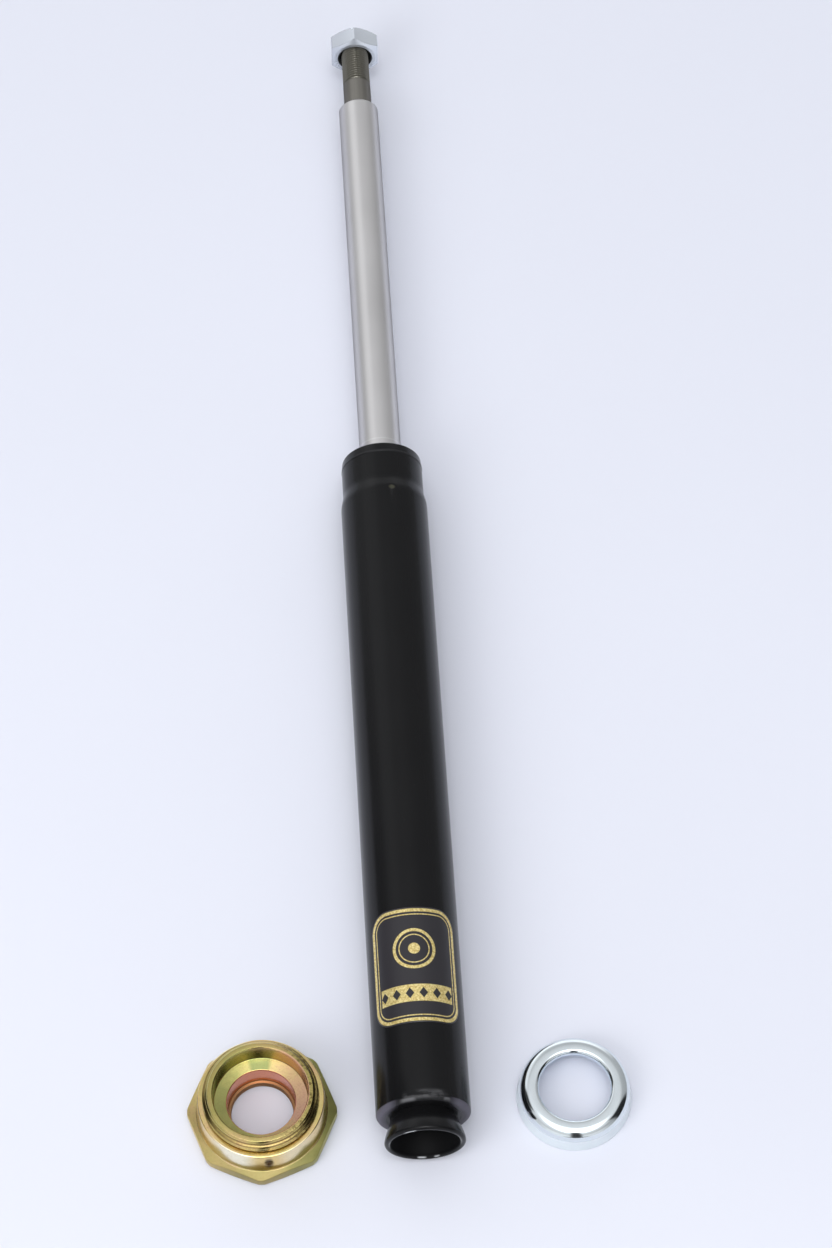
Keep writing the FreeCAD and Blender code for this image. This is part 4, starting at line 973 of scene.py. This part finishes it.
def end_cap_shell():
    """The cap's sheet turned about its upright axis: tapered wall, round shoulder, turned-down lip."""
    mouth_r = (cap_right - cap_left) / 2
    lip_end = cap_top - CAP_LIP
    inside = cap_top - CAP_SHEET
    profile = rounded([
        (mouth_r - CAP_SHEET, floor_level, 0.5), (mouth_r, floor_level, 0.5), (CAP_TOP_R, cap_top, 4.8),
        (CAP_HOLE_R, cap_top, 1.8), (CAP_HOLE_R, lip_end, 0.5), (CAP_HOLE_R + CAP_SHEET, lip_end, 0.5),
        (CAP_HOLE_R + CAP_SHEET, inside, 0.4), (CAP_TOP_R - CAP_SHEET, inside, 1.6),
    ], steps=10)
    profile = divided(profile, 1.5)
    angles = even_angles(160)[None, :]
    return closed_ring(about_upright(profile[:, :1], profile[:, 1:], angles, cap_middle))


def seal_ring():
    """The seal turned about the axis, with two thin wiping edges where it shows."""
    hole_r = rod_r + 0.05
    lip_r, seat_r = hole_r + 1.9, NECK_R - TUBE_WALL - 0.1
    washer_r, wiper_r, relief_r = 15.2, hole_r + 1.5, hole_r + 0.8
    seat, step = seal_low + 3.6, seal_low + 11.8
    profile = rounded([
        (hole_r, seal_low, 0.2), (lip_r, seal_low, 0.3), (lip_r, seat, 0.2), (seat_r, seat, 0.3),
        (seat_r, step - 0.4, 0.1), (washer_r, step - 0.4, 0.1),
        (washer_r, step, 0.1), (wiper_r, step, 0.2),
        (wiper_r, seal_high - 1.2, 0.4), (hole_r + 0.5, seal_high, 0.2), (hole_r, seal_high - 0.3, 0.1),
        (hole_r, seal_high - 1.8, 0.2), (relief_r, seal_high - 2.6, 0.2),
        (relief_r, seal_low + 3.0, 0.2), (hole_r, seal_low + 2.2, 0.2),
    ], steps=5)
    return closed_ring(about_insert(profile[:, :1], profile[:, 1:], even_angles(120)[None, :]))


def flexing_spring(name, body, node):
    """A star spring: a copy of its node's own mesh, placed as a piece that rides on its body.

    What is kept of its height at the end of the lift is the sheet's thickness, less a hair's breadth.
    """
    piece = place_piece(name, frame["nodes"][node].data.copy(), body, node)
    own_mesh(piece)


def label_patch():
    """The label: rings of a round-cornered rectangle shrunk to its middle, bent over the tube.

    A flat point (across, along) is laid on the tube at the angle across / radius from the top. The last
    two rings of the top turn down to the tube, and the underside closes the film.
    """
    half_length = (label_high - label_low) / 2
    outline = rounded([
        (LABEL_HALF, half_length, LABEL_ROUND), (-LABEL_HALF, half_length, LABEL_ROUND),
        (-LABEL_HALF, -half_length, LABEL_ROUND), (LABEL_HALF, -half_length, LABEL_ROUND),
    ], steps=24)
    outline = divided(outline, 1.2)
    level_rings, inmost = 26, 0.02
    top_share = np.linspace(inmost, 0.985, level_rings)
    share = np.concatenate([top_share, [0.997, 1.0, 0.997, 0.9, inmost]])
    edge_r = [label_r - 0.03, label_r - 0.1]
    film_r = np.concatenate([np.full(level_rings, label_r), edge_r, np.full(3, tube_r + 0.02)])
    flat = outline[None] * share[:, None, None]
    angles = math.pi / 2 - flat[..., 0] / label_r
    middle = (label_low + label_high) / 2
    points, faces = capped_bar(about_insert(film_r[:, None], middle + flat[..., 1], angles))
    print_place = flat.reshape(-1, 2) / (2 * np.array([LABEL_HALF, half_length])) + 0.5
    return points, faces, np.vstack([print_place, [[0.5, 0.5], [0.5, 0.5]]])


def lay_print(piece, print_place):
    """Give a mesh the flat coordinates of its print."""
    layer = piece.data.uv_layers.new(name="label_print")
    corners = np.zeros(len(piece.data.loops), np.int32)
    piece.data.loops.foreach_get("vertex_index", corners)
    layer.data.foreach_set("uv", print_place[corners].astype(np.float32).ravel())


make_piece("tube_shell", tube_shell(), "tube", "outer_tube", "black_paint")
make_piece("foot_bell", collar_bell(), "tube", "foot_collar", "black_paint")
make_piece("wiper_seal", seal_ring(), "tube", "rod_seal", "black_rubber")
make_piece("rod_and_stud", rod_bar(), "rod", "piston_rod", "ground_rod")
make_piece("stud_nut", rod_nut_ring(), "rod_nut", "rod_nut", "bright_zinc")
make_piece("threaded_gland", gland_nut_ring(), "gland_nut", "gland_nut", "yellow_zinc")
make_piece("pressed_cap", end_cap_shell(), "end_cap", "end_cap", "bright_zinc")
flexing_spring("foot_star_spring", "tube", "foot_check_spring")
flexing_spring("piston_star_spring", "rod", "piston_check_spring")
*label_shape, label_places = label_patch()
label_piece = make_piece("tube_label", label_shape, "tube", "body_label", "label_film")
lay_print(label_piece, label_places)


# Floor, light and camera

FLOOR_HALF = 6.0
CAMERA_TARGET = Vector((0.01134, 0.25922, 0.0))
CAMERA_ELEVATION = math.radians(58.806)
CAMERA_YAW = math.radians(-3.4)
CAMERA_DISTANCE = 1.540985
CAMERA_LENS = 95.19


def pale_floor():
    """A wide level sheet just under the pieces, pale and faintly blue, with painted light: paler in
    front, darker far behind.
    """
    gap = 0.0001
    level = floor_level * MM - gap
    corners = [(x * FLOOR_HALF, y * FLOOR_HALF, level) for x, y in ((-1, -1), (1, -1), (1, 1), (-1, 1))]
    mesh = bpy.data.meshes.new("pale_floor")
    mesh.from_pydata(corners, [], [(0, 1, 2, 3)])
    finish, tree, shader = new_finish("pale_floor", Roughness=0.6, Specular_IOR_Level=0.2)
    place = place_of(tree)
    cloud = grain(tree, place, 260.0, 2.0)
    along = axes_of(tree, place)[ALONG]
    # Painted light: the floor is painted paler in front and darker far behind
    pale = layered(
        tree, blend(tree, cloud, tone(217, 219, 229), tone(222, 224, 234)),
        (1.0 - along.step(-140.0, 40.0), tone(225, 227, 236)),
        (along.step(200.0, 700.0), tone(217, 219, 229)),
    )
    vary(tree, shader, Base_Color=pale)
    mesh.materials.append(finish)
    sheet = bpy.data.objects.new("pale_floor", mesh)
    bpy.context.scene.collection.objects.link(sheet)


def soft_surroundings():
    """A white tent with a soft box overhead.

    Its walls are brighter behind and in front, with a window behind on the left. Gaps at both sides and
    low in front, and a narrow strip in front, are dark. Walls and gaps are ranges of the cosine to a
    level direction, under a height. The camera itself would see the tent's pale wall.
    """
    world = bpy.data.worlds.new("soft_surroundings")
    world.use_nodes = True
    tree = world.node_tree
    direction = Shade.node(tree, "ShaderNodeTexCoord", output="Generated")
    across, along, rise = axes_of(tree, direction)
    level = (across * across + along * along).root().at_least(0.001)

    def below(low, high):
        return 1.0 - rise.step(low, high)

    to_back = along / level
    to_front = -along / level
    to_right = (across * 0.995 - along * 0.1) / level
    to_left = (along * 0.26 - across * 0.966) / level
    right_gap = to_right.step(0.93, 0.975) * below(0.76, 0.88)
    left_gap = to_left.step(0.945, 0.985) * below(0.74, 0.86)
    front_gap = to_front.step(0.93, 0.98) * below(0.04, 0.14)
    front_strip = to_front.step(0.98, 0.996) * below(0.82, 0.9)
    dark = right_gap.at_least(left_gap).at_least(front_gap).at_least(front_strip)
    to_box = rise * 0.966 - along * 0.26
    box = to_box.step(0.66, 0.84) * 0.3 + to_box.step(0.86, 0.93) + to_box.step(0.972, 0.99) * 5.0
    back_wall = to_back.step(0.75, 0.97) * below(0.4, 0.65)
    front_wall = to_front.step(0.4, 0.9) * below(0.3, 0.6)
    window = (along * 0.616 - across * 0.507 + rise * 0.605).step(0.93, 0.985)
    brightness = 0.55 - across * 0.15 + back_wall * 0.7 + front_wall * 0.35 + window * 0.28 + box
    brightness = brightness * (1.0 - dark * 0.95)
    full_light, power = (7.88, 8.0, 8.24), 0.124
    lit = blend(tree, brightness * power, (0.0, 0.0, 0.0), full_light)
    seen = Shade.node(tree, "ShaderNodeLightPath", output="Is Camera Ray")
    shown = blend(tree, seen, lit, tone(232, 235, 246))
    tree.links.new(shown.socket, tree.nodes["Background"].inputs["Color"])
    bpy.context.scene.world = world


def soft_lamp(name, place, target, size, power):
    """A large square lamp aimed at a point, which lights the pieces without a reflection of its own."""
    data = bpy.data.lights.new(name, "AREA")
    data.shape = "SQUARE"
    data.size = size
    data.energy = power
    lamp = bpy.data.objects.new(name, data)
    lamp.location = place
    lamp.visible_glossy = False
    lamp.rotation_euler = (Vector(target) - Vector(place)).to_track_quat("-Z", "Y").to_euler()
    bpy.context.scene.collection.objects.link(lamp)


def photo_camera():
    """The camera on a line back from its target, raised by its elevation and turned by its yaw."""
    back = Vector((math.sin(CAMERA_YAW) * math.cos(CAMERA_ELEVATION),
                   -math.cos(CAMERA_YAW) * math.cos(CAMERA_ELEVATION), math.sin(CAMERA_ELEVATION)))
    data = bpy.data.cameras.new("camera")
    data.lens = CAMERA_LENS
    camera = bpy.data.objects.new("camera", data)
    camera.location = CAMERA_TARGET + back * CAMERA_DISTANCE
    camera.rotation_euler = (-back).to_track_quat("-Z", "Y").to_euler()
    bpy.context.scene.collection.objects.link(camera)
    bpy.context.scene.camera = camera


pale_floor()
soft_surroundings()
soft_lamp("side_window", place=(-1.3, -1.0, 1.35), target=(0.0, 0.25, 0.0), size=1.1, power=15.5)
photo_camera()
bpy.context.scene.view_settings.view_transform = "Standard"
